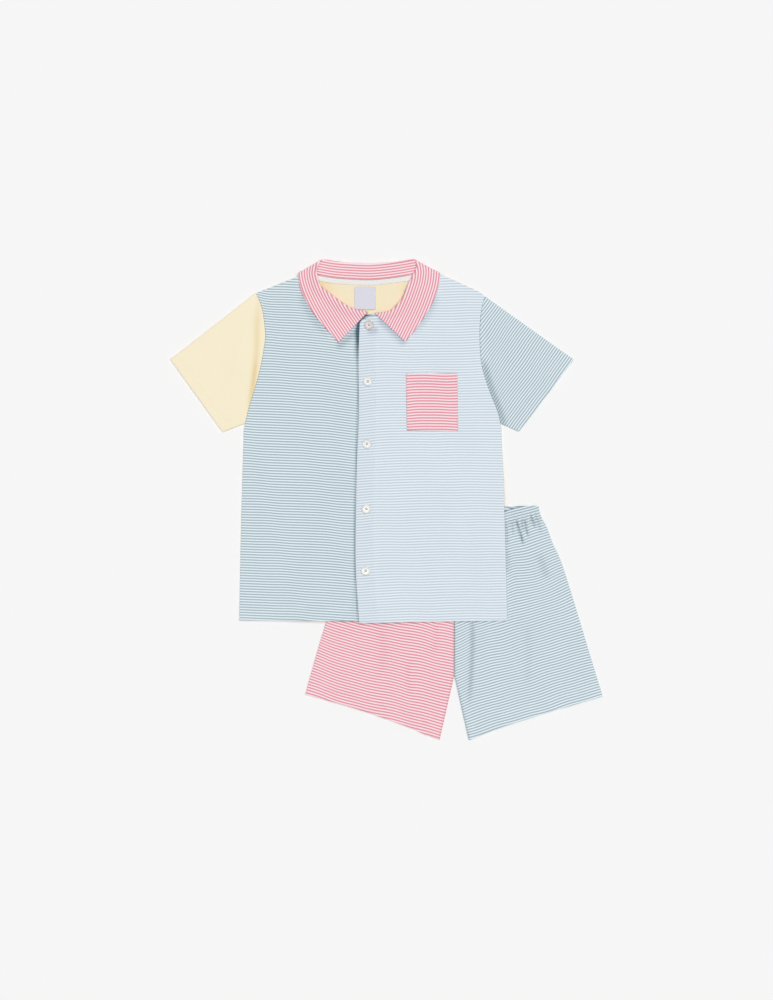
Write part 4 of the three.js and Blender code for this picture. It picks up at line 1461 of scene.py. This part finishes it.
@dataclass(frozen=True)
class NeckTrim:
    """The tape that covers the back neck seam, and the label below it, which is left bare."""

    shirt: Shirt = Shirt()
    tape_width: float = 6.2
    tape_parts: Point = (0.045, 0.91)
    tape_cut: Point = (0.125, 0.01)
    tape_lines: int = 6
    tape_stitch: float = 1.0
    below_seam: float = 0.45
    label_left: float = -40.0
    label_right: float = -13.6
    label_top: float = 266.2
    label_under: float = 237.8
    label_count: int = 24
    label_length: float = 27.0
    label_stitch: float = 1.2
    count: int = 60
    rim: Rim = Rim(0.35)

    def tape(self) -> bpy.types.Object:
        """Build the tape."""
        neck = back_neck(self.shirt).at(np.linspace(*self.tape_parts, self.count))
        neck = neck - np.array([0, self.below_seam])
        across = self.rim.parts(self.tape_lines, self.tape_width)
        grid = np.stack([neck - np.array([0, self.tape_width * (1 - part)]) for part in across])
        x, y = grid[..., 0], grid[..., 1]
        ends = np.minimum(1, np.arange(self.count) / 2)
        full = np.outer(self.rim.fullness(self.tape_lines), np.minimum(ends, ends[::-1]))
        middle = LAYERS.shirt_underside(x, y) + LAYERS.on_top - 0.1 + LAYERS.trim / 2
        cloth = sheet_from(grid, middle, LAYERS.trim * full, Lay(pitch=1.0))
        piece = cloth.piece("neck_tape_cloth", Finish.TAPE)
        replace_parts(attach(piece, "root"), "neck_tape")
        low = Line([tuple(p) for p in grid[0, ::6] + np.array([0, self.tape_stitch])])
        thread = Sewing(piece).sew("neck_tape_stitches", [Stitches(low)], Finish.WHITE_THREAD)
        return piece

    def label(self) -> bpy.types.Object:
        """Build the label."""
        parts = self.rim.parts(self.label_count, self.label_length)
        x, y = np.meshgrid(mix(self.label_left, self.label_right, parts),
                           mix(self.label_under, self.label_top, parts))
        fullness = self.rim.fullness(self.label_count)
        full = np.outer(fullness, fullness)
        u, v = np.meshgrid(parts, parts)
        # The label is sewn on at its sides, so its lower middle stands off a little.
        bow = 0.5 * np.sin(math.pi * u) * (1 - v) ** 2 + 0.35 * (1 - v) ** 3
        middle = LAYERS.shirt_underside(x, y) + LAYERS.on_top + 0.1 + LAYERS.trim / 2 + bow
        cloth = sheet_from(np.dstack([x, y]), middle, LAYERS.trim * full, Lay(pitch=1.0))
        piece = cloth.piece("neck_label_cloth", Finish.LABEL)
        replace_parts(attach(piece, "root"), "neck_label")
        edge = self.label_stitch
        rows = [Stitches(Line([(a, self.label_under + edge), (a, self.label_top - edge)]), length=1.8)
                for a in (self.label_left + edge, self.label_right - edge)]
        thread = Sewing(piece).sew("neck_label_stitches", rows, Finish.WHITE_THREAD)
        return piece


@dataclass(frozen=True)
class ShirtButton:
    """A small four-hole shirt button with a raised rim and a dished middle, sewn on with bars of thread."""

    number: int
    place: Point
    turn: float
    finish: Finish = Finish.BUTTON
    radius: float = 5.75
    thickness: float = 2.4
    hole_offset: float = 1.3
    hole_radius: float = 0.62
    hole_sides: int = 14
    segments: int = 48
    sharp_angle: float = 40.0
    strand_gap: float = 0.24
    strand_radius: float = 0.19
    strand_rise: float = 0.42
    strand_dip: float = 0.9
    strand_sides: int = 6
    strand_steps: int = 9

    def profile(self) -> list[Point]:
        """Return radius and height from the middle of the back round to the middle of the dish."""
        r, t = self.radius, self.thickness
        return [(0, 0.25), (r - 2.4, 0.15), (r - 1.1, 0.1), (r - 0.45, 0.3), (r - 0.08, 0.75), (r, 1.15),
                (r - 0.1, 1.7), (r - 0.42, 2.15), (r - 0.85, t), (r - 1.3, 2.28), (r - 1.75, 1.95),
                (r - 2.2, 1.72), (r - 2.9, 1.62), (0, 1.58)]

    def build(self, base: float) -> bpy.types.Object:
        """Build the button with its holes and thread.

        Args:
            base: The height of the cloth below it.

        Returns:
            The button.
        """
        x, y = self.place
        z = base + LAYERS.settled_gap
        line, n = self.profile(), self.segments
        points = [[x, y, z + line[0][1]]]
        for radius, height in line[1:-1]:
            points += circle(x, y, z + height, radius, n)
        points.append([x, y, z + line[-1][1]])
        last_ring, end = 1 + (len(line) - 3) * n, len(points) - 1
        faces = [[0, 1 + (k + 1) % n, 1 + k] for k in range(n)]
        faces += tube_faces(1, len(line) - 2, n, capped=False)
        faces += [[last_ring + k, last_ring + (k + 1) % n, end] for k in range(n)]
        piece = loose_mesh(f"shirt_button_{self.number}", points, faces, self.finish)
        self.drill(piece, z)
        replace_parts(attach(piece, "root"), f"button_{self.number}")
        self.tie(z)
        return piece

    def holes(self) -> list[Point]:
        """Return the places of the four holes."""
        x, y = self.place
        reach = self.hole_offset
        turns = [self.turn + (k + 0.5) * math.pi / 2 for k in range(4)]
        return [(x + reach * math.cos(a), y + reach * math.sin(a)) for a in turns]

    def drill(self, piece: bpy.types.Object, z: float) -> None:
        """Cut the four holes through the button."""
        points: list[list[float]] = []
        faces: list[list[int]] = []
        for hole_x, hole_y in self.holes():
            faces += tube_faces(len(points), 2, self.hole_sides)
            for height in (-1.0, self.thickness + 1.0):
                points += circle(hole_x, hole_y, z + height, self.hole_radius, self.hole_sides)
        drill = loose_mesh("button_drill", points, faces, Finish.BUTTON)
        cut = piece.modifiers.new("holes", "BOOLEAN")
        cut.operation, cut.object, cut.solver = "DIFFERENCE", drill, "EXACT"
        bpy.context.view_layer.update()
        shaped = bpy.data.meshes.new_from_object(piece.evaluated_get(bpy.context.evaluated_depsgraph_get()))
        piece.modifiers.clear()
        piece.data = shaped
        shaped.shade_smooth()
        shaped.set_sharp_from_angle(angle=math.radians(self.sharp_angle))
        bpy.data.objects.remove(drill)

    def tie(self, z: float) -> None:
        """Tie the button on with two bars of three strands each."""
        points: list[list[float]] = []
        faces: list[list[int]] = []
        holes = [np.array(h) for h in self.holes()]
        dish = z + self.profile()[-1][1]
        for a, b in ((holes[0], holes[1]), (holes[3], holes[2])):
            along = unit(b - a)
            across = np.array([-along[1], along[0]])
            for strand in (-1, 0, 1):
                faces += tube_faces(len(points), self.strand_steps, self.strand_sides)
                for part in np.arange(self.strand_steps) / (self.strand_steps - 1):
                    plan = mix(a, b, part) + across * strand * self.strand_gap
                    arch, ends = math.sin(math.pi * part) ** 0.5, abs(2 * part - 1) ** 6
                    height = dish + self.strand_rise * arch - self.strand_dip * ends
                    for turn in np.linspace(0, 2 * math.pi, self.strand_sides, endpoint=False):
                        side = plan + across * self.strand_radius * math.cos(turn)
                        points.append([side[0], side[1], height + self.strand_radius * math.sin(turn)])
        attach(loose_mesh(f"button_thread_{self.number}", points, faces, Finish.KHAKI_THREAD), "root")


@dataclass(frozen=True)
class Gather:
    """One pleat drawn in by the waist elastic, from the casing down to where it dies away."""

    top: Point
    end: Point
    height: float
    width: float
    # The strength of the painted shade in the valley.
    shade: float = 0.5
    spreading: float = 0.8
    valley: float = 0.7
    valley_width: float = 0.5
    slip_share: float = 1.1
    slip_reach: float = 4.0

    def place(self, x: np.ndarray, y: np.ndarray) -> tuple[np.ndarray, np.ndarray]:
        """Return how far along the pleat each place is, from 0 to 1, and how far to its right."""
        a, b = np.array(self.top), np.array(self.end)
        step = b - a
        along = ((x - a[0]) * step[0] + (y - a[1]) * step[1]) / (step**2).sum()
        right = ((x - a[0]) * -step[1] + (y - a[1]) * step[0]) / np.linalg.norm(step)
        return along, right

    def lift(self, x: np.ndarray, y: np.ndarray) -> np.ndarray:
        """Return how far the pleat lifts the cloth: a ridge to the right of a sharper valley.

        Args:
            x: X of the places.
            y: Y of the places.

        Returns:
            The lift.
        """
        along, right = self.place(x, y)
        spread = self.width * (1 + self.spreading * np.clip(along, 0, 1.2))
        ridge = np.exp(-(((right - spread) / spread) ** 2))
        valley = self.valley * np.exp(-((right / (self.valley_width * spread)) ** 2))
        return self.height * (ridge - valley) * ramp(1.15, 0.3, along) * ramp(-0.8, 0.1, along)

    def tone(self, x: np.ndarray, y: np.ndarray) -> np.ndarray:
        """Return the painted shade that lies in the valley."""
        along, right = self.place(x, y)
        fade = ramp(1.1, 0.7, along) * ramp(-0.15, 0.15, along)
        # Painted shade: a thin dark line with a wider soft one around it.
        line, blur = np.exp(-((right / 0.75) ** 2)), np.exp(-((right / 2.4) ** 2))
        return self.shade * fade * (0.75 * line + 0.25 * blur)

    def slip(self, x: np.ndarray, y: np.ndarray) -> np.ndarray:
        """Return how far the stripes to the right of the valley slip down it.

        Args:
            x: X of the places.
            y: Y of the places.

        Returns:
            The slip.
        """
        along, right = self.place(x, y)
        step = ramp(-0.6, 0.6, right) * np.exp(-((np.maximum(right, 0) / self.slip_reach) ** 2))
        return self.slip_share * self.height * step * ramp(1.2, 0.7, along) * ramp(-0.3, 0.15, along)


@dataclass(frozen=True)
class Leg:
    """One leg of the shorts, front or back: hem, inseam, side and its share of the waist."""

    hem: Line
    inseam: Line
    side: Line
    crotch: Point
    lay: Lay
    finish: Finish
    slot: str
    seam_on_left: bool
    creases: tuple[Crease, ...] = ()
    # Painted shade lines along the leg's folds.
    shades: tuple[Crease, ...] = ()
    cut: Point = (0.2, 0.3)
    inseam_rows: int = 26
    rise_rows: int = 74
    columns: int = 74
    hem_depth: float = 15.0
    hem_step: float = 0.35
    hem_stitches: Point = (-2.5, 0.7)
    rim: Rim = Rim()
    inseam_share: float = 0.29

    def grid(self, dip: float) -> np.ndarray:
        """Return the plan points of a panel whose waist dips that far.

        Args:
            dip: How far the middle of the waist dips.

        Returns:
            The points, as rows from the hem up.
        """
        seam_x = self.crotch[0]
        rise = Line([self.crotch, (seam_x, float(LAYERS.waist_line(np.array(seam_x), dip)))])
        inner = np.concatenate([
            self.inseam.at(self.rim.parts(self.inseam_rows, self.inseam.length(), end=False)),
            rise.at(self.rim.parts(self.rise_rows, rise.length(), start=False))[1:]])
        low = self.rim.parts(self.inseam_rows, self.inseam.length(), end=False) * self.inseam_share
        high = self.rim.parts(self.rise_rows, rise.length(), start=False)[1:]
        outer = self.side.at(np.concatenate([low, self.inseam_share + high * (1 - self.inseam_share)]))
        side_x = self.side.points[-1][0]
        parts = self.rim.parts(self.columns, self.hem.length())
        left_x, right_x = (seam_x, side_x) if self.seam_on_left else (side_x, seam_x)
        x = mix(left_x, right_x, parts)
        top = np.column_stack([x, LAYERS.waist_line(x, dip)])
        left, right = (inner, outer) if self.seam_on_left else (outer, inner)
        return fill(self.hem.at(parts), top, left, right)

    def full(self) -> np.ndarray:
        """Return the share of full thickness at each grid point."""
        rows = np.concatenate([self.rim.fullness(self.inseam_rows, end=False),
                               self.rim.fullness(self.rise_rows, start=False)[1:]])
        return np.outer(rows, self.rim.fullness(self.columns))


@dataclass(frozen=True)
class Shorts:
    """The shorts: two legs of two panels each, with the waist gathered on to elastic in a turned casing."""

    right: Leg
    left: Leg
    gathers: tuple[Gather, ...]
    seam_reach: float = 5.0
    seam_rise: float = 0.3
    seam_drop: float = 0.42
    pucker_pitch: float = 5.7
    pucker_lift: float = 0.22
    pucker_slip: float = 0.35
    # Shares of painted shade: in the puckers' troughs, at the middle seam, on the back's waistband and just
    # above the front's waist edge.
    pucker_shade: float = 0.06
    seam_shade: float = 0.3
    casing_shade: float = 0.1
    inside_shade: float = 0.5
    casing_rows: Point = (6.0, 15.0)
    back_pull: Pull = Pull((140, -6), (18, 14), -11.0)

    def back(self, name: str, leg: Leg, node: str) -> bpy.types.Object:
        """Build a back panel.

        Args:
            name: The name of the panel's cloth.
            leg: The leg that it belongs to.
            node: The CAD solid that it replaces.

        Returns:
            The panel.
        """
        grid = leg.grid(LAYERS.back_dip)
        x, y = grid[..., 0], grid[..., 1]
        casing = LAYERS.casing(x, y, LAYERS.back_dip)
        rise = self.seam_rise * ramp(self.seam_reach, 0, from_edges(grid, Edge.LEFT, Edge.RIGHT))
        thick = (LAYERS.cloth + casing) * leg.full()
        middle = (LAYERS.cloth + casing) / 2 + rise
        from_waist = LAYERS.waist_line(x, LAYERS.back_dip) - y
        behind = y - LAYERS.waist_line(x, LAYERS.front_dip)
        turned = replace(leg.lay, pulls=(*leg.lay.pulls, self.back_pull))
        # Painted shade on the back's waistband near its top, and a dark line just above the edge of the front
        # that lies over it.
        tone = self.casing_shade * ramp(14, 5, from_waist) + self.inside_shade * ramp(2.6, 0.2, behind)
        cloth = sheet_from(grid, middle, thick, turned, tone)
        piece = cloth.piece(name, leg.finish)
        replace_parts(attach(piece, "root"), node)
        return piece

    def pleats(self, x: np.ndarray, y: np.ndarray, leg: Leg) -> np.ndarray:
        """Return the lift of the pleats below the waist and of the leg's own creases.

        Args:
            x: X of the places.
            y: Y of the places.
            leg: The leg.

        Returns:
            The lift.
        """
        pleats = sum((g.lift(x, y) for g in self.gathers), np.zeros(x.shape))
        return pleats + relief(leg.creases, x, y) + self.pucker_lift * self.pucker(x, y)

    def pucker(self, x: np.ndarray, y: np.ndarray) -> np.ndarray:
        """Return the small even puckers that the elastic draws into the casing, from -1 to 1."""
        below = LAYERS.waist_line(x, LAYERS.front_dip) - y
        turns = 2 * math.pi * x / self.pucker_pitch + 0.9 * np.sin(x / 9.0)
        return np.sin(turns) * ramp(5, 13, below) * ramp(30, 16, below)

    def front(self, name: str, leg: Leg, node: str) -> bpy.types.Object:
        """Build a front panel with its gathers, hem and stitches.

        Args:
            name: The name of the panel's cloth.
            leg: The leg that it belongs to.
            node: The CAD solid that it replaces.

        Returns:
            The panel.
        """
        grid = leg.grid(LAYERS.front_dip)
        x, y = grid[..., 0], grid[..., 1]
        casing = LAYERS.casing(x, y, LAYERS.front_dip)
        extra = hem_thickness(from_edges(grid, Edge.HEM), leg.hem_depth, leg.hem_step)
        drop = self.seam_drop * ramp(self.seam_reach, 0, from_edges(grid, Edge.LEFT, Edge.RIGHT))
        thick = (LAYERS.cloth + casing + extra) * leg.full()
        middle = (LAYERS.shorts_back_top(x, y) + LAYERS.seam + (LAYERS.cloth + casing + extra) / 2 - drop
                  + self.pleats(x, y, leg))
        below = LAYERS.waist_line(x, LAYERS.front_dip) - y
        pucker = self.pucker(x, y)
        from_seam = from_edges(grid, Edge.LEFT if leg.seam_on_left else Edge.RIGHT)
        # Painted shade along the middle seam, in the casing's pucker troughs, along the leg's folds and in
        # the gathers' valleys.
        tone = self.seam_shade * ramp(1.8, 0, from_seam) + relief(leg.shades, x, y)
        tone = tone + self.pucker_shade * (1 - pucker) * ramp(30, 14, below)
        tone = tone + sum(g.tone(x, y) for g in self.gathers)
        pattern = leg.lay.pattern(x, y)
        slipped = sum(g.slip(x, y) for g in self.gathers) + self.pucker_slip * pucker
        pattern[..., 1] += slipped / leg.lay.pitch
        upper = np.dstack([grid, middle + thick / 2])
        lower = np.dstack([grid, middle - thick / 2])
        piece = Cloth.between(upper, lower, pattern, tone).piece(name, leg.finish)
        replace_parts(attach(piece, "root"), node)
        rows = [Stitches(leg.hem.shifted(leg.hem_depth + step)) for step in leg.hem_stitches]
        waist_x = np.sort(grid[-1, 2:-2, 0])[::4]
        for depth in self.casing_rows:
            line = [(float(a), float(LAYERS.waist_line(a, LAYERS.front_dip)) - depth) for a in waist_x]
            rows.append(Stitches(Line(line)))
        finish = Finish.PINK_THREAD if leg.finish is Finish.PINK else Finish.WHITE_THREAD
        thread = Sewing(piece).sew(name.replace("_cloth", "_stitches"), rows, finish)
        return piece


@dataclass(frozen=True)
class Studio:
    """Pale paper, an even white sky and one broad soft light, with the camera straight above the set."""

    camera_height: float = 3.0
    frame_height: float = 1.25
    sensor: float = 36.0
    sky: float = 0.36
    lamp_share: float = 0.64
    lamp_tilt: float = 9.0
    lamp_from: float = -40.0
    lamp_softness: float = 60.0
    paper_size: float = 8.0
    paper_squares: int = 16

    def paper(self) -> bpy.types.Object:
        """Roll out the background paper."""
        half, n = self.paper_size / 2 / MM, self.paper_squares
        side = np.linspace(-half, half, n + 1)
        points = [[x, y, 0.0] for y in side for x in side]
        starts = [row * (n + 1) + column for row in range(n) for column in range(n)]
        faces = [[k, k + 1, k + n + 2, k + n + 1] for k in starts]
        floor = loose_mesh("floor", points, faces, Finish.PAPER)
        return floor

    def lights(self) -> None:
        """Light the set so that a white surface facing up shows as white."""
        world = bpy.data.worlds.new("studio_sky")
        world.use_nodes = True
        sky = world.node_tree.nodes["Background"]
        sky.inputs["Color"].default_value = (1.0, 1.0, 1.0, 1.0)
        sky.inputs["Strength"].default_value = self.sky
        bpy.context.scene.world = world
        lamp = bpy.data.lights.new("soft_lamp", "SUN")
        lamp.angle = math.radians(self.lamp_softness)
        lamp.energy = self.lamp_share * math.pi / math.cos(math.radians(self.lamp_tilt))
        holder = bpy.data.objects.new("soft_lamp", lamp)
        holder.rotation_euler = (math.radians(self.lamp_tilt), 0.0, math.radians(180 + self.lamp_from))
        bpy.context.scene.collection.objects.link(holder)

    def camera(self) -> None:
        """Place the camera straight above the middle of the set."""
        data = bpy.data.cameras.new("camera")
        data.sensor_fit, data.sensor_width = "AUTO", self.sensor
        data.lens = self.sensor * self.camera_height / self.frame_height
        data.clip_end = 50.0
        holder = bpy.data.objects.new("camera", data)
        holder.location = (0.0, 0.0, self.camera_height)
        bpy.context.scene.collection.objects.link(holder)
        bpy.context.scene.camera = holder
        bpy.context.scene.view_settings.view_transform = "Standard"


BUTTONS = (
    # The top button gets the painted-shade copy of the resin.
    ShirtButton(1, (-21.8, 218.4), 0.5, Finish.SHADED_TOP_BUTTON),
    ShirtButton(2, (-23.4, 147.8), 0.1),
    ShirtButton(3, (-24.3, 70.1), 0.0),
    ShirtButton(4, (-25.1, -11.0), 0.6),
    ShirtButton(5, (-25.9, -88.1), 0.2),
)

RIGHT_SLEEVE = Sleeve(
    Wearer.RIGHT, Shirt().armhole_left, (-269.6, 175.3), (-205, 85.6), Lay(angle=54, pitch=1.0),
    Finish.YELLOW, Finish.YELLOW_THREAD, "yellow_jersey", "right_sleeve",
    (Crease([(-161, 248), (-162, 205), (-166, 160), (-176, 110)], -0.5, 3.0, 0.12),
     Crease([(-172, 236), (-184, 190), (-192, 150)], 0.4, 9),
     Crease([(-250, 178), (-226, 160), (-214, 130)], 0.45, 9),
     Crease([(-215, 214), (-222, 180), (-214, 150)], 0.3, 10)),
    # Painted shade in the fold beside the armhole.
    (Crease([(-158, 262), (-161.5, 228), (-162.5, 190), (-165, 160), (-169, 132), (-175, 102)], 0.33, 3.8),
     Crease([(-163.5, 178), (-164.8, 158), (-168, 134), (-172.5, 108)], 0.22, 3.0)),
    (0.30, 0.19))

LEFT_SLEEVE = Sleeve(
    Wearer.LEFT, Shirt().armhole_right, (233.4, 175), (165.6, 86.3),
    Lay(angle=54, pitch=3.15, waves=((90, 0.35, 0.0), (40, 0.15, 1.0)),
        pulls=(Pull((130, 170), (16, 60), 1.0), Pull((176, 169), (18, 18), 1.3),
               Pull((135, 205), (15, 15), 1.2))),
    Finish.TEAL, Finish.WHITE_THREAD, "teal_stripe_jersey", "left_sleeve",
    (Crease([(126, 238), (124, 200), (136, 150), (150, 112)], -0.45, 3.0, 0.15),
     Crease([(140, 226), (152, 190), (158, 150)], 0.4, 9),
     Crease([(216, 176), (194, 158), (182, 128)], 0.45, 9),
     Crease([(180, 208), (186, 180), (176, 150)], 0.3, 10)),
    # Painted shade along the lower armhole.
    (Crease([(119, 180), (130, 142), (141, 112), (148, 88)], 0.34, 4.6, 0.2),),
    (0.30, 0.19))

SHORTS = Shorts(
    right=Leg(
        hem=Line([(-101.4, -243), (-38.9, -260.4), (26.8, -283.3), (44, -291.0), (66.2, -299.6)]),
        inseam=Line([(66.2, -299.6), (73.5, -267.8), (79.6, -240.9), (84.45, -219.5)]),
        side=Line([(-101.4, -243), (-86.5, -189.4), (-70.4, -136.8), (-50.6, -78.9), (-38.9, -55),
                   (-31.1, -34.3), (-23.2, -19.6), (-20.4, -7.5)]),
        crotch=(84.45, -219.5),
        lay=Lay(angle=-12.5, pitch=3.48, waves=((84, 0.35, 0.5), (46, 0.32, 2.2)),
                pulls=(Pull((-120, -190), (48, 140), -8.5), Pull((42, -175), (30, 60), -2.0),
                       Pull((85, -300), (40, 42), 3.0), Pull((-8, -172), (9, 50), 1.1),
                       Pull((29, -226), (7, 28), 1.1), Pull((61, -168), (7, 32), 1.1))),
        finish=Finish.PINK, slot="pink_stripe_jersey", seam_on_left=False,
        creases=(Crease([(-60, -160), (-46, -200), (-50, -240)], 0.5, 8),
                 Crease([(0, -156), (12, -200), (6, -250)], 0.55, 9),
                 Crease([(50, -160), (62, -200), (50, -262)], 0.5, 8),
                 Crease([(80, -216), (60, -206), (36, -176)], -0.35, 5)),
        # Painted shade along the leg's folds.
        shades=(Crease([(-12, -150), (-4, -184), (-10, -224)], 0.08, 6),
                Crease([(30, -196), (27, -222), (31, -250)], 0.08, 4),
                Crease([(60, -152), (62, -172), (58, -196)], 0.08, 4))),
    left=Leg(
        hem=Line([(103, -300), (142.4, -284.2), (180, -272.2), (208.1, -263.5), (270, -245)]),
        inseam=Line([(103, -300), (95.6, -267.8), (89.6, -240.9), (84.75, -219.5)]),
        side=Line([(270, -245), (252.9, -189.4), (237.1, -136.8), (218.8, -78.9), (207.9, -55),
                   (200.3, -34.3), (192.4, -19.6), (189.6, -7.5)]),
        crotch=(84.75, -219.5),
        lay=Lay(angle=16.8, pitch=3.28, waves=((96, 0.5, 1.4), (47, 0.34, 0.2)),
                pulls=(Pull((144, -34), (16, 30), -2.2), Pull((160, -90), (8, 42), -1.5),
                       Pull((187, -90), (16, 40), 1.7), Pull((242, -100), (30, 60), -3.0),
                       Pull((107, -195), (9, 56), -1.3), Pull((84, -190), (14, 60), 2.0),
                       Pull((127, -172), (15, 50), -2.0))),
        finish=Finish.TEAL, slot="teal_stripe_jersey", seam_on_left=True,
        creases=(Crease([(176, -84), (172, -140), (160, -196)], 0.6, 9),
                 Crease([(206, -96), (214, -150), (206, -210)], 0.55, 9),
                 Crease([(120, -160), (128, -210), (116, -262)], 0.5, 9),
                 Crease([(106, -140), (106, -190), (102, -262)], -0.5, 4),
                 Crease([(150, -160), (146, -200), (152, -246)], -0.3, 7),
                 Crease([(90, -216), (112, -204), (136, -176)], -0.35, 5)),
        # Painted shade along the leg's folds and beside the gathers.
        shades=(Crease([(107, -140), (107, -190), (103, -262)], 0.3, 3.0),
                Crease([(176, -150), (178, -190), (175, -240)], 0.06, 5),
                Crease([(190, -64), (196, -84), (202, -100)], 0.14, 5),
                Crease([(150, -56), (151, -76), (150, -96)], 0.16, 3.5))),
    gathers=(
        Gather((149.5, -29), (151.5, -58), 0.5, 1.8, 0.3),
        Gather((156.2, -26), (158.6, -44), 0.4, 1.7, 0.3),
        Gather((162.2, -26.6), (171.2, -55.5), 0.8, 1.7, 0.9),
        Gather((168.4, -25.0), (171.2, -40), 0.4, 1.6, 0.35),
        Gather((172.3, -24.6), (177.0, -46.0), 0.7, 1.8, 0.6),
        Gather((180.0, -19.5), (186.2, -35.0), 0.6, 1.6, 0.6),
        Gather((186.8, -19), (193.5, -42), 0.45, 1.8, 0.3),
    ))


def main() -> None:
    """Build the set from the floor up, and report each piece."""
    logging.basicConfig(level=logging.INFO, format="%(name)s: %(message)s")
    studio = Studio()
    studio.paper()
    studio.lights()
    studio.camera()
    pieces = [
        SHORTS.back("shorts_right_back_cloth", SHORTS.right, "shorts_right_back"),
        SHORTS.back("shorts_left_back_cloth", SHORTS.left, "shorts_left_back"),
        SHORTS.front("shorts_right_front_cloth", SHORTS.right, "shorts_right_front"),
        SHORTS.front("shorts_left_front_cloth", SHORTS.left, "shorts_left_front"),
        ShirtBack().build(),
        NeckTrim().tape(),
        NeckTrim().label(),
        RightFront().build(),
        LeftFront().build(),
        RIGHT_SLEEVE.build(),
        LEFT_SLEEVE.build(),
        Collar().build(),
        Patch().build(LeftFront().lift),
    ]
    cloth = Sewing(bpy.data.objects["left_front_cloth"])
    pieces += [button.build(cloth.height(*button.place, Face.TOP)) for button in BUTTONS]
    for piece in pieces:
        LOG.info("%s: %d faces", piece.name, len(piece.data.polygons))


if __name__ == "__main__":
    main()
